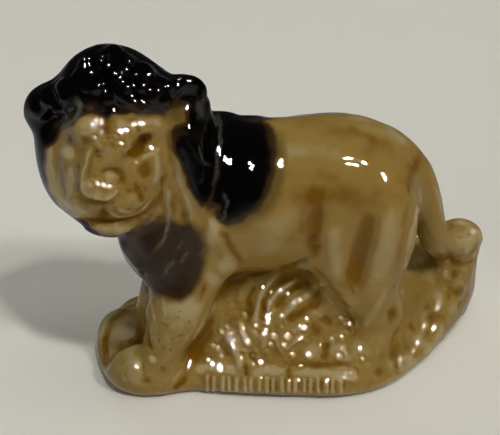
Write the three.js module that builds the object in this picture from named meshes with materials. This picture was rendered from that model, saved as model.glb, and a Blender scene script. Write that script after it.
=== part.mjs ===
// Miniature porcelain lion standing on a grassy mound, pressed and glazed in one piece.
//
// Units are millimetres. +X runs from the lion's face to its tail, +Y away from the side that is
// shown, +Z up. The origin is on the table, under the middle of the figurine.
//
// The lion is modelled as a potter would: soft masses of clay (eggs and tapered rolls) are pressed
// together, each with its own place and size, and hollows are pressed in. The masses make one
// blended field, and its surface is polygonised on a lattice that is finer round the head.

import * as THREE from 'three';
import { MarchingCubes } from 'three/addons/objects/MarchingCubes.js';
import { mergeVertices } from 'three/addons/utils/BufferGeometryUtils.js';

// Body
const BODY_WIDTH = 12.0; // across the ribs
const BODY_HEIGHT = 15.3; // from belly to back
const BODY_MIDDLE = 18.0; // height of the middle of the ribs
const BODY_SWING = 0.22; // how far the body turns away per millimetre of its length

// Head and mane
const HEAD = vec(-13.4, -3.4, 24.8); // middle of the skull
const SKULL_RADIUS = 6.5;
const MANE_HALF_WIDTH = 7.7;
const MANE_HALF_HEIGHT = 8.2;

// Legs and tail
const FORELEG_RADIUS = 2.7;
const THIGH_RADIUS = 3.9;
const PAW_HEIGHT = 1.7;
const TAIL_RADIUS = 1.5;

// Mound
const LEFT_GROUND = 1.7; // height of the ground by the forepaws
const LEDGE_HEIGHT = 2.7; // height of the flat ledge along the front edge
const BANK_HEIGHT = 11.2; // height of the grass bank where it meets the belly
const RIGHT_GROUND = 1.6; // height of the ground at the front right
const RIGHT_SLOPE = 0.46; // rise of the ground towards the tail per millimetre
const SLOPE_SHARE = 0.85; // a height above sloping ground, as a distance from it
const EDGE_ROUNDING = 1.6; // softness of the mound's upper edge
const FOOT_ROUNDING = 0.9; // softness of the foot edge, where the glaze runs out

// Grass blades: shift of the foot, lean to the right in degrees, length
const GRASS = [[-0.4, 16, 4.6], [0.6, 40, 6.0], [1.8, 58, 6.4], [-2.4, -14, 3.8]];
const BLADE_RADIUS = 0.75;

// Lattice
const FOOT_CELL = 0.7; // the table's plane lies halfway between two lattice lines
const FINE_CELL = 0.84;
const MIDDLE_CELL = 0.98;
const COARSE_CELL = 1.22;
const HEAD_BEHIND_X = -3.5; // the fine cells end here
const HEAD_ABOVE_Z = 16.5;
const SHOWN_SIDE_Y = 1.5;
const LATTICE_HALF = vec(25, 13.5, 37);
const LEAST_CUT = 0.07; // how near a lattice point the surface may pass, as a part of a cell
const WELD = 1e-4;
const RELAXING_PASSES = 3;

const glaze = new THREE.MeshStandardMaterial({ color: 0xa9884f, roughness: 0.16, metalness: 0 });

function vec(x, y, z) {
  return new THREE.Vector3(x, y, z);
}

/** Smaller of two distances, rounded where they are nearly equal. */
function softMin(a, b, softness) {
  const nearness = Math.max(softness - Math.abs(a - b), 0) / softness;
  return Math.min(a, b) - (nearness * nearness * softness) / 4;
}

// Shapes: each is a function of a point that gives the distance to its surface, negative inside

/** An egg with three radii, turned by Euler angles in degrees. */
function egg(centre, radii, turn = [0, 0, 0]) {
  const angles = turn.map(THREE.MathUtils.degToRad);
  const inverse = new THREE.Quaternion().setFromEuler(new THREE.Euler(...angles)).invert();
  const scaled = vec(0, 0, 0);
  return (point) => {
    scaled.copy(point).sub(centre).applyQuaternion(inverse).divide(radii);
    const reach = scaled.length();
    const steepness = scaled.divide(radii).length();
    return steepness === 0 ? -Math.min(...radii) : (reach * (reach - 1)) / steepness;
  };
}

/** A roll of clay from one point to another, with a radius at each end. */
function roll(from, to, fromRadius, toRadius) {
  const along = to.clone().sub(from);
  const lengthSquared = along.lengthSq();
  const offset = vec(0, 0, 0);
  return (point) => {
    offset.copy(point).sub(from);
    const share = THREE.MathUtils.clamp(offset.dot(along) / lengthSquared, 0, 1);
    offset.addScaledVector(along, -share);
    return offset.length() - THREE.MathUtils.lerp(fromRadius, toRadius, share);
  };
}

/** The clay: masses and hollows, each pressed into the last with its own softness. */
class Clay {
  constructor() {
    this.presses = [];
  }

  add(shape, softness) {
    this.presses.push((point, depth) => softMin(depth, shape(point), softness));
  }

  hollow(shape, softness) {
    this.presses.push((point, depth) => -softMin(-depth, shape(point), softness));
  }

  /** A chain of rolls through several points, with a radius at each. */
  limb(points, radii, softness) {
    for (let i = 0; i + 1 < points.length; i += 1) {
      this.add(roll(points[i], points[i + 1], radii[i], radii[i + 1]), softness);
    }
  }

  /** Distance to the blended surface, negative inside. */
  distance(point) {
    return this.presses.reduce((depth, press) => press(point, depth), 1e3);
  }
}

// Mound

const moundOutline = new THREE.SplineCurve(
  [
    [-14.8, -6.8], [-12.6, -8.4], [-9.6, -8.7], [-6.0, -7.9], [-1.6, -8.4], [3.3, -8.7],
    [8.6, -8.7], [13.4, -6.6], [18.4, 0.0], [22.0, 6.8], [21.8, 9.4], [16.0, 9.9],
    [4.0, 9.4], [-6.0, 8.8], [-12.2, 6.4], [-15.9, 2.0], [-16.4, -3.0], [-14.8, -6.8],
  ].map(([x, y]) => new THREE.Vector2(x, y)),
).getPoints(90);

/** Distance from the mound's outline in plan, negative inside. */
function outlineDistance(x, y) {
  let nearest = Infinity;
  let inside = false;
  for (let i = 0; i + 1 < moundOutline.length; i += 1) {
    const a = moundOutline[i];
    const b = moundOutline[i + 1];
    const run = b.clone().sub(a);
    const share = ((x - a.x) * run.x + (y - a.y) * run.y) / run.lengthSq();
    const held = THREE.MathUtils.clamp(share, 0, 1);
    nearest = Math.min(nearest, Math.hypot(a.x + held * run.x - x, a.y + held * run.y - y));
    if (a.y > y !== b.y > y && x < a.x + ((y - a.y) / run.y) * run.x) inside = !inside;
  }
  return inside ? -nearest : nearest;
}

/** Height of the ground: low by the forepaws, a steep bank under the belly, a slope at the tail. */
function groundHeight(x, y) {
  const { lerp, smoothstep } = THREE.MathUtils;
  const left = LEFT_GROUND + 0.2 * Math.max(y + 2, 0);
  const bank = LEDGE_HEIGHT + (BANK_HEIGHT - LEDGE_HEIGHT) * smoothstep(y, -7.8, -0.6);
  const middle = bank - 0.25 * Math.max(y - 3, 0);
  const right = RIGHT_GROUND + RIGHT_SLOPE * Math.max(y + 4.5, 0);
  return lerp(lerp(left, middle, smoothstep(x, -9.5, -3.5)), right, smoothstep(x, 6.5, 13.0));
}

function mound(point) {
  const side = outlineDistance(point.x, point.y);
  const top = SLOPE_SHARE * (point.z - groundHeight(point.x, point.y));
  return -softMin(-side, -top, EDGE_ROUNDING);
}

// Lion

/** Ribs, chest and rump, swinging away from the viewer towards the tail. */
function pressBody(clay) {
  const width = BODY_WIDTH / 2;
  const height = BODY_HEIGHT / 2;
  const along = (x, z) => vec(x, BODY_SWING * (x - 1.5), z);
  clay.add(egg(along(-5.2, BODY_MIDDLE + 0.3), vec(6.6, width, height - 0.3)), 1);
  clay.add(egg(along(1.5, BODY_MIDDLE), vec(9.0, width, height)), 3);
  clay.add(egg(along(8.2, BODY_MIDDLE - 0.3), vec(7.0, width, height - 0.1)), 3);
  clay.add(egg(vec(-1.6, -1.6, 20.4), vec(3.4, 5.2, 5.4)), 1.5);
  clay.add(egg(vec(-7.4, -0.8, 22.4), vec(6.4, 5.4, 4.6)), 2);
  clay.add(egg(vec(-9.6, -3.2, 14.6), vec(3.6, 3.9, 5.2), [0, -28, 0]), 2);
  clay.hollow(egg(vec(4.9, -7.4, 18.8), vec(1.6, 1.6, 2.6)), 2);
}

function pressHindLegs(clay) {
  clay.add(egg(vec(11.1, -1.8, 15.6), vec(THIGH_RADIUS, 3.9, 7.2)), 1.2);
  clay.limb([vec(5.9, -2.9, 17.0), vec(6.9, -3.2, 12.6), vec(8.6, -3.4, 8.0)], [2.3, 2.1, 1.6], 0.8);
  clay.limb([vec(10.2, -3.0, 10.5), vec(11.4, -3.1, 6.8), vec(11.0, -3.5, 4.0)], [3.0, 2.2, 1.9], 1.0);
  clay.add(egg(vec(13.0, -2.9, 6.6), vec(1.1, 1.1, 1.6)), 0.8);
  clay.add(egg(vec(10.3, -4.4, 3.4), vec(2.1, 2.2, PAW_HEIGHT)), 0.8);
  clay.hollow(roll(vec(9.0, -6.3, 17.4), vec(7.6, -6.0, 10.6), 0.5, 0.3), 1.2);
  clay.add(egg(vec(8.8, 4.4, 14.6), vec(THIGH_RADIUS, 3.4, 6.6)), 2);
  clay.limb([vec(8.6, 5.0, 9.0), vec(9.4, 5.4, 5.6)], [2.5, 2.2], 1.5);
}

function pressForelegs(clay) {
  const shoulder = vec(-5.9, -4.2, 13.2);
  const ankle = vec(-9.3, -6.2, 4.8);
  const knee = shoulder.clone().lerp(ankle, 0.6).add(vec(0, -0.2, 0));
  clay.limb([shoulder, knee, ankle], [3.1, FORELEG_RADIUS, 2.1], 1.2);
  clay.add(egg(vec(-11.2, -6.3, 2.6), vec(3.2, 2.2, PAW_HEIGHT + 0.2)), 1);
  clay.add(egg(vec(-3.7, -5.7, 13.6), vec(2.1, 1.3, 1.2), [0, -30, 0]), 0.5);
  clay.limb([vec(-8.0, -0.6, 12.0), vec(-10.4, -0.2, 5.4)], [2.8, 1.9], 1.2);
  clay.add(egg(vec(-13.6, -0.4, 2.8), vec(2.2, 2.2, PAW_HEIGHT + 0.2)), 1);
  clay.add(egg(vec(-8.2, -2.2, 6.0), vec(2.4, 3.2, 5.5), [0, 20, 0]), 1.5);
}

function pressTail(clay) {
  const route = new THREE.CatmullRomCurve3([
    vec(12.2, 1.9, 22.0), vec(14.8, 2.6, 18.8), vec(16.2, 3.0, 15.4), vec(16.9, 3.6, 11.7),
    vec(18.1, 4.8, 9.2), vec(19.6, 6.2, 8.5),
  ]);
  const points = route.getPoints(10);
  const radii = points.map((_, i) => TAIL_RADIUS + 0.5 * Math.max(0, 1 - i / 4));
  clay.limb(points, radii, 0.8);
  clay.add(egg(vec(20.9, 7.2, 8.6), vec(1.9, 1.7, 1.6)), 0.8);
  clay.add(egg(vec(20.0, 8.2, 8.2), vec(2.2, 1.4, 1.9)), 1);
}

/** The head without its face: skull, mane, ears and the locks that hang beside the cheeks. */
function pressMane(clay) {
  clay.add(egg(HEAD, vec(SKULL_RADIUS, 5.0, SKULL_RADIUS)), 1.5);
  const mane = HEAD.clone().add(vec(0.4, 1.7, 0.2));
  clay.add(egg(mane, vec(MANE_HALF_WIDTH, 4.6, MANE_HALF_HEIGHT)), 1.5);
  clay.add(egg(vec(-13.8, -2.4, 30.6), vec(4.2, 3.4, 4.2)), 2);
  clay.add(egg(vec(-11.0, -4.6, 31.2), vec(3.6, 1.8, 1.9), [0, 18, 0]), 1);
  clay.add(egg(vec(-16.2, -4.4, 31.0), vec(3.2, 1.8, 1.9), [0, -30, 0]), 1);
  clay.add(egg(vec(-19.6, -2.6, 28.8), vec(2.0, 2.0, 2.5), [0, 30, 0]), 1);
  clay.hollow(egg(vec(-18.6, -4.6, 28.4), vec(0.9, 1.0, 1.4), [0, 20, 0]), 0.6);
  clay.add(egg(vec(-6.9, -3.2, 30.5), vec(2.1, 1.7, 2.0)), 1);
  clay.hollow(egg(vec(-7.0, -5.2, 30.4), vec(1.1, 1.0, 1.1)), 0.6);
  clay.add(egg(vec(-6.8, -3.2, 24.0), vec(2.2, 3.2, 6.0)), 1);
  const rim = [vec(-5.4, -2.6, 28.6), vec(-5.0, -3.2, 25.0), vec(-5.2, -4.0, 21.0), vec(-4.2, -4.8, 18.6)];
  clay.limb(rim, [1.1, 1.4, 1.3, 0.9], 0.8);
  clay.add(egg(vec(-19.0, -2.2, 24.2), vec(1.5, 2.4, 4.4)), 1);
}

function pressFace(clay) {
  clay.add(egg(vec(-14.1, -5.6, 22.6), vec(3.7, 3.2, 3.5)), 1.2);
  clay.add(egg(vec(-14.0, -4.8, 21.0), vec(4.4, 3.3, 3.7)), 1.2);
  clay.add(egg(vec(-18.0, -3.6, 23.2), vec(2.1, 2.6, 4.5)), 1);
  clay.add(egg(vec(-9.9, -4.2, 22.8), vec(2.2, 2.6, 5.0)), 1);
  clay.limb([vec(-13.8, -6.6, 27.4), vec(-14.6, -8.0, 25.0)], [1.7, 1.5], 0.8);
  clay.add(egg(vec(-14.7, -8.5, 24.3), vec(1.7, 1.3, 1.1)), 0.6);
  clay.add(egg(vec(-16.4, -7.0, 22.3), vec(1.8, 1.7, 1.6)), 0.6);
  clay.add(egg(vec(-12.7, -7.3, 22.3), vec(2.1, 1.8, 1.7)), 0.6);
  clay.add(egg(vec(-13.9, -6.6, 18.9), vec(2.3, 1.8, 1.4)), 0.6);
  clay.add(egg(vec(-15.4, -6.6, 29.0), vec(1.6, 1.4, 1.6)), 0.6);
  clay.add(egg(vec(-13.0, -6.8, 28.4), vec(1.6, 1.4, 1.6)), 0.6);
  clay.limb([vec(-11.6, -6.6, 29.0), vec(-8.8, -5.2, 28.8)], [1.2, 1.0], 0.6);
  clay.hollow(egg(vec(-10.9, -7.4, 27.2), vec(1.2, 1.1, 1.0)), 0.6);
}

/** Blades of grass that fan up the bank from their roots near the ledge. */
function pressGrass(clay) {
  const slope = vec(0, 0.66, 0.75);
  const across = vec(1, 0, 0);
  const root = vec(-0.8, -5.6, 5.0);
  for (const [shift, lean, length] of GRASS) {
    const angle = THREE.MathUtils.degToRad(lean);
    const foot = root.clone().addScaledVector(across, shift);
    const tip = foot.clone()
      .addScaledVector(across, length * Math.sin(angle))
      .addScaledVector(slope, length * Math.cos(angle));
    clay.add(roll(foot, tip, BLADE_RADIUS, BLADE_RADIUS), 1.0);
  }
}

function lionClay() {
  const clay = new Clay();
  pressBody(clay);
  pressHindLegs(clay);
  pressForelegs(clay);
  pressTail(clay);
  pressMane(clay);
  pressFace(clay);
  clay.add(mound, 2.0);
  pressGrass(clay);
  clay.hollow((point) => point.z, FOOT_ROUNDING); // the flat underside, on the table
  return clay;
}

// Surface

/** Lattice lines from one end to the other, with a step that depends on the place. */
function latticeLines(from, to, stepAt) {
  const lines = [from];
  while (lines.at(-1) < to) lines.push(lines.at(-1) + stepAt(lines.at(-1)));
  return lines;
}

/** The closed surface of the clay as triangles, facing out. */
function surfaceOf(clay) {
  const lines = {
    x: latticeLines(-LATTICE_HALF.x, LATTICE_HALF.x, (x) => (x < HEAD_BEHIND_X ? FINE_CELL : COARSE_CELL)),
    y: latticeLines(-LATTICE_HALF.y, LATTICE_HALF.y, (y) => (y < SHOWN_SIDE_Y ? MIDDLE_CELL : COARSE_CELL)),
    z: latticeLines(-2.5 * FOOT_CELL, LATTICE_HALF.z, (z) => {
      if (z < FOOT_CELL) return FOOT_CELL;
      return z < HEAD_ABOVE_Z ? COARSE_CELL : FINE_CELL;
    }),
  };
  const count = Math.max(lines.x.length, lines.y.length, lines.z.length) + 2;
  const cubes = new MarchingCubes(count, glaze, false, false, 20000);
  cubes.isolation = 0;
  cubes.field.fill(-1);
  const point = vec(0, 0, 0);
  lines.z.forEach((z, k) => lines.y.forEach((y, j) => lines.x.forEach((x, i) => {
    const depth = -clay.distance(point.set(x, y, z));
    const least = LEAST_CUT * COARSE_CELL;
    const kept = Math.max(Math.abs(depth), least) * (depth < 0 ? -1 : 1);
    cubes.field[i + count * (j + count * k)] = kept;
  })));
  cubes.update();

  // the surface comes in lattice steps, from -1 to 1, and is put back on the lattice lines
  const placed = (axis, value) => {
    const step = ((value + 1) * count) / 2;
    const line = Math.min(Math.floor(step), lines[axis].length - 2);
    return THREE.MathUtils.lerp(lines[axis][line], lines[axis][line + 1], step - line);
  };
  const corners = cubes.geometry.getAttribute('position').array.slice(0, cubes.count * 3);
  for (let i = 0; i < corners.length; i += 3) {
    corners[i] = placed('x', corners[i]);
    corners[i + 1] = placed('y', corners[i + 1]);
    corners[i + 2] = placed('z', corners[i + 2]);
  }
  const loose = new THREE.BufferGeometry();
  loose.setAttribute('position', new THREE.BufferAttribute(corners, 3));
  return mergeVertices(loose, WELD);
}

/** Evens out the triangles: each corner moves among its neighbours, then back to the clay. */
function relax(geometry, clay) {
  const corners = geometry.getAttribute('position');
  const faces = geometry.index.array;
  const neighbours = Array.from({ length: corners.count }, () => new Set());
  for (let i = 0; i < faces.length; i += 3) {
    for (let side = 0; side < 3; side += 1) {
      const a = faces[i + side];
      const b = faces[i + ((side + 1) % 3)];
      neighbours[a].add(b);
      neighbours[b].add(a);
    }
  }
  const read = (i) => vec(corners.getX(i), corners.getY(i), corners.getZ(i));
  for (let pass = 0; pass < RELAXING_PASSES; pass += 1) {
    const moved = neighbours.map((around, i) => {
      const average = vec(0, 0, 0);
      around.forEach((j) => average.add(read(j)));
      return backToClay(read(i).lerp(average.divideScalar(around.size), 0.6), clay);
    });
    moved.forEach((point, i) => corners.setXYZ(i, point.x, point.y, point.z));
  }
}

/** Moves a point along the field's slope until it lies on the surface of the clay. */
function backToClay(point, clay) {
  const probe = 0.02;
  for (let step = 0; step < 2; step += 1) {
    const depth = clay.distance(point);
    const slope = vec(
      clay.distance(point.clone().setX(point.x + probe)) - depth,
      clay.distance(point.clone().setY(point.y + probe)) - depth,
      clay.distance(point.clone().setZ(point.z + probe)) - depth,
    ).divideScalar(probe);
    point.addScaledVector(slope, -depth / Math.max(slope.lengthSq(), 0.2));
  }
  return point;
}

const clay = lionClay();
const geometry = surfaceOf(clay);
relax(geometry, clay);
geometry.computeBoundingBox();
const middle = geometry.boundingBox.getCenter(vec(0, 0, 0));
geometry.translate(-middle.x, -middle.y, -geometry.boundingBox.min.z);
geometry.computeVertexNormals();

const lion = new THREE.Mesh(geometry, glaze);
lion.name = 'lion_figurine';

const figurine = new THREE.Group();
figurine.add(lion);

export default figurine;
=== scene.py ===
"""Miniature porcelain lion on a grassy mound: its glazed surface, the floor, the light and the camera.

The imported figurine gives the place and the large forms. Here its skin is worked finer, as a potter
would: small masses are pressed on and melted in, strokes are cut and raised for hair, face, paws
and grass, and the paint and the glaze are laid over the result.

Working sizes are millimetres, in the figurine's own frame, and the finished mesh is in metres. A
place on the shown side is a named pixel of the photograph, which is 500 by 435, and `at` turns it
into millimetres on a sheet that is held square to the line of sight.
"""

import logging
import math
from dataclasses import dataclass, fields
from enum import Enum
from typing import Sequence

import bmesh
import bpy
import numpy as np
from mathutils import Matrix, Vector, noise
from mathutils.bvhtree import BVHTree


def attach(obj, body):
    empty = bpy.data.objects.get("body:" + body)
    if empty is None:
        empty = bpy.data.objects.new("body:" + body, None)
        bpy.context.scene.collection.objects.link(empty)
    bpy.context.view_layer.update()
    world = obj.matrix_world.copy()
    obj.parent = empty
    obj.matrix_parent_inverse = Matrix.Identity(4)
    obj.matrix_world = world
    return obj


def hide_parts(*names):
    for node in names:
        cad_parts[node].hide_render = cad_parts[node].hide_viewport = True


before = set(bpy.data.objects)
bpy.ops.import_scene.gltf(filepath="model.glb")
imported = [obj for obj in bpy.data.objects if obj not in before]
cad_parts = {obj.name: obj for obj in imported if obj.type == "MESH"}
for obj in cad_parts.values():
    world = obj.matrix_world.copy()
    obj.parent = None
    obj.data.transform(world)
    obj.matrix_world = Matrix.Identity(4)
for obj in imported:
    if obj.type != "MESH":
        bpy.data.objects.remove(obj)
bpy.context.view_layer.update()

log = logging.getLogger("lion")

MM = 0.001
NODE = "lion_figurine"
SLOT = "glazed_porcelain"

PHOTO_WIDTH = 500.0
PHOTO_MIDDLE = (250.0, 217.5)
PIXELS_TO_A_MM = 10.33

Pair = tuple[float, float]
Triple = tuple[float, float, float]
Route = tuple[Pair, ...]
Boxes = tuple[tuple[Triple, Triple], ...]
Hit = tuple[Vector, Vector]


class Side(Enum):
    """The side of the figurine that a stroke is drawn on."""

    SHOWN = "shown"
    BACK = "back"
    FRONT = "front"


class Ends(Enum):
    """How a stroke begins and ends."""

    BLUNT = "blunt"
    FADING = "fading"


def at(pixel: Pair) -> Pair:
    """The place on the shown sheet, across and up in millimetres, of a pixel of the photograph."""
    return ((pixel[0] - PHOTO_MIDDLE[0]) / PIXELS_TO_A_MM, (PHOTO_MIDDLE[1] - pixel[1]) / PIXELS_TO_A_MM)


def along(route: Sequence[Pair]) -> list[Pair]:
    """The places on the shown sheet of some pixels of the photograph."""
    return [at(pixel) for pixel in route]


@dataclass(frozen=True)
class Sheet:
    """A drawing sheet held square to a line of sight, through the middle of the figurine.

    A place on it is (across, up) in millimetres. A stroke drawn on it falls on the skin where
    the line of sight through that place first meets the clay.
    """

    azimuth: float
    elevation: float
    distance: float = 170.0
    middle: Triple = (-1.55, 1.2, 14.5)

    def forward(self) -> Vector:
        """The direction of sight."""
        turn, rise = math.radians(self.azimuth), math.radians(self.elevation)
        return Vector((-math.sin(turn) * math.cos(rise), math.cos(turn) * math.cos(rise), -math.sin(rise)))

    def across(self) -> Vector:
        """The sheet's own right-hand direction."""
        turn = math.radians(self.azimuth)
        return Vector((math.cos(turn), math.sin(turn), 0.0))

    def up(self) -> Vector:
        """The sheet's own upward direction."""
        return self.across().cross(self.forward())

    def eye(self) -> Vector:
        """Where the sheet is looked at from."""
        return Vector(self.middle) - self.forward() * self.distance

    def touch(self, skin: BVHTree, place: Pair) -> Hit | None:
        """Finds where a place on the sheet falls on the skin.

        Args:
            skin: The clay's surface.
            place: Across and up on the sheet, in millimetres.

        Returns:
            The point of the skin and the direction outwards there, or None beside the figurine.
        """
        through = Vector(self.middle) + self.across() * place[0] + self.up() * place[1]
        start = self.eye()
        point, out, _, _ = skin.ray_cast(start, (through - start).normalized())
        return None if point is None else (point, out)

    def flatten(self, points: np.ndarray) -> np.ndarray:
        """Finds the places of points in space on the sheet.

        Args:
            points: The points, one to a row.

        Returns:
            Across and up on the sheet, one row for each.
        """
        offset = points - np.array(self.eye())
        scale = self.distance / (offset @ np.array(self.forward()))
        flat = np.stack([offset @ np.array(self.across()), offset @ np.array(self.up())], axis=1)
        return flat * scale[:, None]

    def faced(self, normals: np.ndarray, turn: float) -> np.ndarray:
        """Finds how far the skin faces the sheet.

        Args:
            normals: The directions outwards, one to a row.
            turn: The value where the skin is seen edge on.

        Returns:
            A value from 0 to 1 for each.
        """
        return np.clip(turn - 3.0 * (normals @ np.array(self.forward())), 0, 1)


SHEETS = {
    Side.SHOWN: Sheet(0.0, 32.0),
    Side.BACK: Sheet(180.0, 25.0),
    Side.FRONT: Sheet(-90.0, 15.0),
}


def spline(points: Sequence[Vector], spacing: float) -> list[Vector]:
    """Runs a smooth line through some points.

    Args:
        points: The points that the line passes.
        spacing: The length between the line's own points.

    Returns:
        The line's points, from the first to the last.
    """
    held = [points[0], *points, points[-1]]
    line = [points[0].copy()]
    for i in range(1, len(held) - 2):
        before, start, end, after = held[i - 1], held[i], held[i + 1], held[i + 2]
        steps = max(1, math.ceil((end - start).length / spacing))
        for k in range(1, steps + 1):
            t = k / steps
            line.append(0.5 * (2 * start + (end - before) * t
                               + (2 * before - 5 * start + 4 * end - after) * t ** 2
                               + (3 * start - before - 3 * end + after) * t ** 3))
    return line


def flat_spline(places: Sequence[Pair], spacing: float) -> list[Vector]:
    """A smooth line through some places on a sheet."""
    return spline([Vector((*place, 0.0)) for place in places], spacing)


def within(point: Vector, boxes: Boxes) -> bool:
    """Whether a point lies in one of some boxes, each given by its lowest and its highest corner."""
    return any(all(a <= c <= b for a, c, b in zip(low, point, high)) for low, high in boxes)


class Clay:
    """The figurine while its masses are pressed on, in millimetres."""

    def __init__(self, node: bpy.types.Object) -> None:
        """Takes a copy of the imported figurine's skin, in millimetres.

        Args:
            node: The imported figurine.
        """
        self.form = bmesh.new()
        self.form.from_mesh(node.data)
        bmesh.ops.remove_doubles(self.form, verts=self.form.verts, dist=1e-7)
        bmesh.ops.scale(self.form, vec=(1 / MM,) * 3, verts=self.form.verts)
        self.skin = BVHTree.FromBMesh(self.form)
        self.beads: list[bpy.types.Mesh] = []

    def touch(self, side: Side, place: Pair) -> Hit | None:
        """The point of the skin, and the direction outwards, that a place on a side's sheet falls on."""
        return SHEETS[side].touch(self.skin, place)

    def bead(self, centre: Sequence[float], radii: Sequence[float], turn: Matrix, cuts: int = 2) -> None:
        """Adds a bead of clay.

        Args:
            centre: The middle of the bead.
            radii: Its three radii.
            turn: Its own three directions.
            cuts: How finely its surface is divided.
        """
        bead = bmesh.new()
        bmesh.ops.create_icosphere(bead, subdivisions=cuts, radius=1.0)
        bmesh.ops.scale(bead, vec=radii, verts=bead.verts)
        bmesh.ops.rotate(bead, cent=(0, 0, 0), matrix=turn, verts=bead.verts)
        bmesh.ops.translate(bead, vec=centre, verts=bead.verts)
        mesh = bpy.data.meshes.new("bead")
        bead.to_mesh(mesh)
        bead.free()
        self.beads.append(mesh)

    def dab(self, side: Side, place: Pair, radii: Triple, rise: float, lean: float = 0.0,
            tip: float = 0.0) -> None:
        """Presses a flattened bead on the skin.

        Args:
            side: The side it is seen from.
            place: Where it sits on that side's sheet.
            radii: Its radii across, up, and out of the skin.
            rise: How far it stands out of the skin.
            lean: How far its upper end leans to the right, in degrees.
            tip: How far it is turned up, as the rise on a run of one.
        """
        found = self.touch(side, place)
        if found is None:
            log.warning("a dab misses the clay at %s %s", side.value, place)
            return
        point, out = found[0], (found[1] + Vector((0, 0, tip))).normalized()
        slant = math.radians(lean)
        sheet = SHEETS[side]
        up = sheet.up() * math.cos(slant) + sheet.across() * math.sin(slant)
        across = up.cross(out).normalized()
        turn = Matrix((across, out.cross(across), out)).transposed()
        self.bead(point + out * (rise - radii[2]), radii, turn, cuts=3)

    def lock(self, side: Side, places: Sequence[Pair], radii: Sequence[float], rise: float) -> None:
        """Lays a roll of clay over the skin.

        Args:
            side: The side it is seen from.
            places: The places that it passes on that side's sheet.
            radii: Its radius at each of them.
            rise: How far it stands out of the skin, as a part of its radius.
        """
        line = flat_spline(places, min(radii) * 0.6)
        share = np.linspace(0, len(places) - 1, len(line))
        sizes = np.interp(share, range(len(places)), radii)
        laid = 0
        for place, radius in zip(line, sizes):
            found = self.touch(side, (place.x, place.y))
            if found is not None:
                self.bead(found[0] + found[1] * radius * (rise - 1), (radius,) * 3, Matrix.Identity(3))
                laid += 1
        if laid < len(line) / 2:
            log.warning("a lock misses the clay at %s %s", side.value, places)

    def lump(self) -> bpy.types.Object:
        """Copies the skin to a mesh object, for a modifier to work on.

        Returns:
            The object.
        """
        mesh = bpy.data.meshes.new("clay")
        self.form.to_mesh(mesh)
        lump = bpy.data.objects.new("clay", mesh)
        bpy.context.scene.collection.objects.link(lump)
        return lump

    def take(self, lump: bpy.types.Object) -> None:
        """Takes the skin back from a lump, as its modifiers leave it.

        Args:
            lump: The object, which is removed.
        """
        bpy.context.view_layer.update()
        worked = lump.evaluated_get(bpy.context.evaluated_depsgraph_get()).to_mesh()
        self.form.clear()
        self.form.from_mesh(worked)
        mesh = lump.data
        bpy.data.objects.remove(lump)
        bpy.data.meshes.remove(mesh)

    def melt(self, cell: float, passes: int) -> None:
        """Melts what has been pressed on into one skin and softens the joins.

        Args:
            cell: The size of the skin's cells.
            passes: How many times the skin is smoothed.
        """
        for bead in self.beads:
            self.form.from_mesh(bead)
            bpy.data.meshes.remove(bead)
        self.beads.clear()
        lump = self.lump()
        melting = lump.modifiers.new("melt", "REMESH")
        melting.mode = "VOXEL"
        melting.voxel_size = cell
        self.take(lump)
        self.soften(passes)

    def soften(self, passes: int) -> None:
        """Smooths the skin.

        Args:
            passes: How many times.
        """
        for _ in range(passes):
            bmesh.ops.smooth_vert(self.form, verts=self.form.verts, factor=0.5,
                                  use_axis_x=True, use_axis_y=True, use_axis_z=True)
        self.skin = BVHTree.FromBMesh(self.form)

    def thin(self, kept: Boxes, left: int, passes: int = 2) -> None:
        """Leaves fewer cells on the plain parts of the skin.

        Args:
            kept: The boxes that keep their cells.
            left: How many corners the whole skin is left with.
            passes: How many times it is smoothed after that.
        """
        lump = self.lump()
        plain = [vert.index for vert in self.form.verts if not within(vert.co, kept)]
        lump.vertex_groups.new(name="plain").add(plain, 1.0, "REPLACE")
        thinning = lump.modifiers.new("thin", "DECIMATE")
        thinning.ratio = left / len(self.form.verts)
        thinning.vertex_group = "plain"
        self.take(lump)
        self.soften(passes)

    def refine(self, boxes: Boxes) -> None:
        """Divides the skin's cells in four inside some boxes.

        Args:
            boxes: The boxes.
        """
        inside = {vert for vert in self.form.verts if within(vert.co, boxes)}
        chosen = [edge for edge in self.form.edges if edge.verts[0] in inside and edge.verts[1] in inside]
        bmesh.ops.subdivide_edges(self.form, edges=chosen, cuts=1, use_grid_fill=True, smooth=0.6)
        self.skin = BVHTree.FromBMesh(self.form)

    def read(self) -> tuple[np.ndarray, np.ndarray]:
        """Reads the skin.

        Returns:
            Its corners and the directions outwards there, one to a row.
        """
        self.form.normal_update()
        points = np.array([vert.co for vert in self.form.verts])
        return points, np.array([vert.normal for vert in self.form.verts])

    def hollows(self, passes: int) -> np.ndarray:
        """Measures how far each corner lies below the skin averaged round it.

        Args:
            passes: How far the averaging spreads.

        Returns:
            The depth at each corner, positive in hollows.
        """
        points, normals = self.read()
        self.form.verts.index_update()
        edges = [edge for edge in self.form.edges if not edge.is_boundary]
        pairs = np.array([[vert.index for vert in edge.verts] for edge in edges])
        count = np.bincount(pairs.ravel(), minlength=len(points)).clip(1)[:, None]
        evened = points.copy()
        for _ in range(passes):
            total = np.stack([np.bincount(pairs[:, 0], evened[pairs[:, 1], axis], len(points))
                              + np.bincount(pairs[:, 1], evened[pairs[:, 0], axis], len(points))
                              for axis in range(3)], axis=1)
            evened = 0.4 * evened + 0.6 * total / count
        return ((evened - points) * normals).sum(1)

    def note(self, name: str, values: np.ndarray) -> None:
        """Keeps one value for each corner of the skin.

        Args:
            name: The name of the value.
            values: The values, in the order of the corners.
        """
        kept = self.form.verts.layers.float.new(name)
        for vert, value in zip(self.form.verts, values):
            vert[kept] = value

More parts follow.
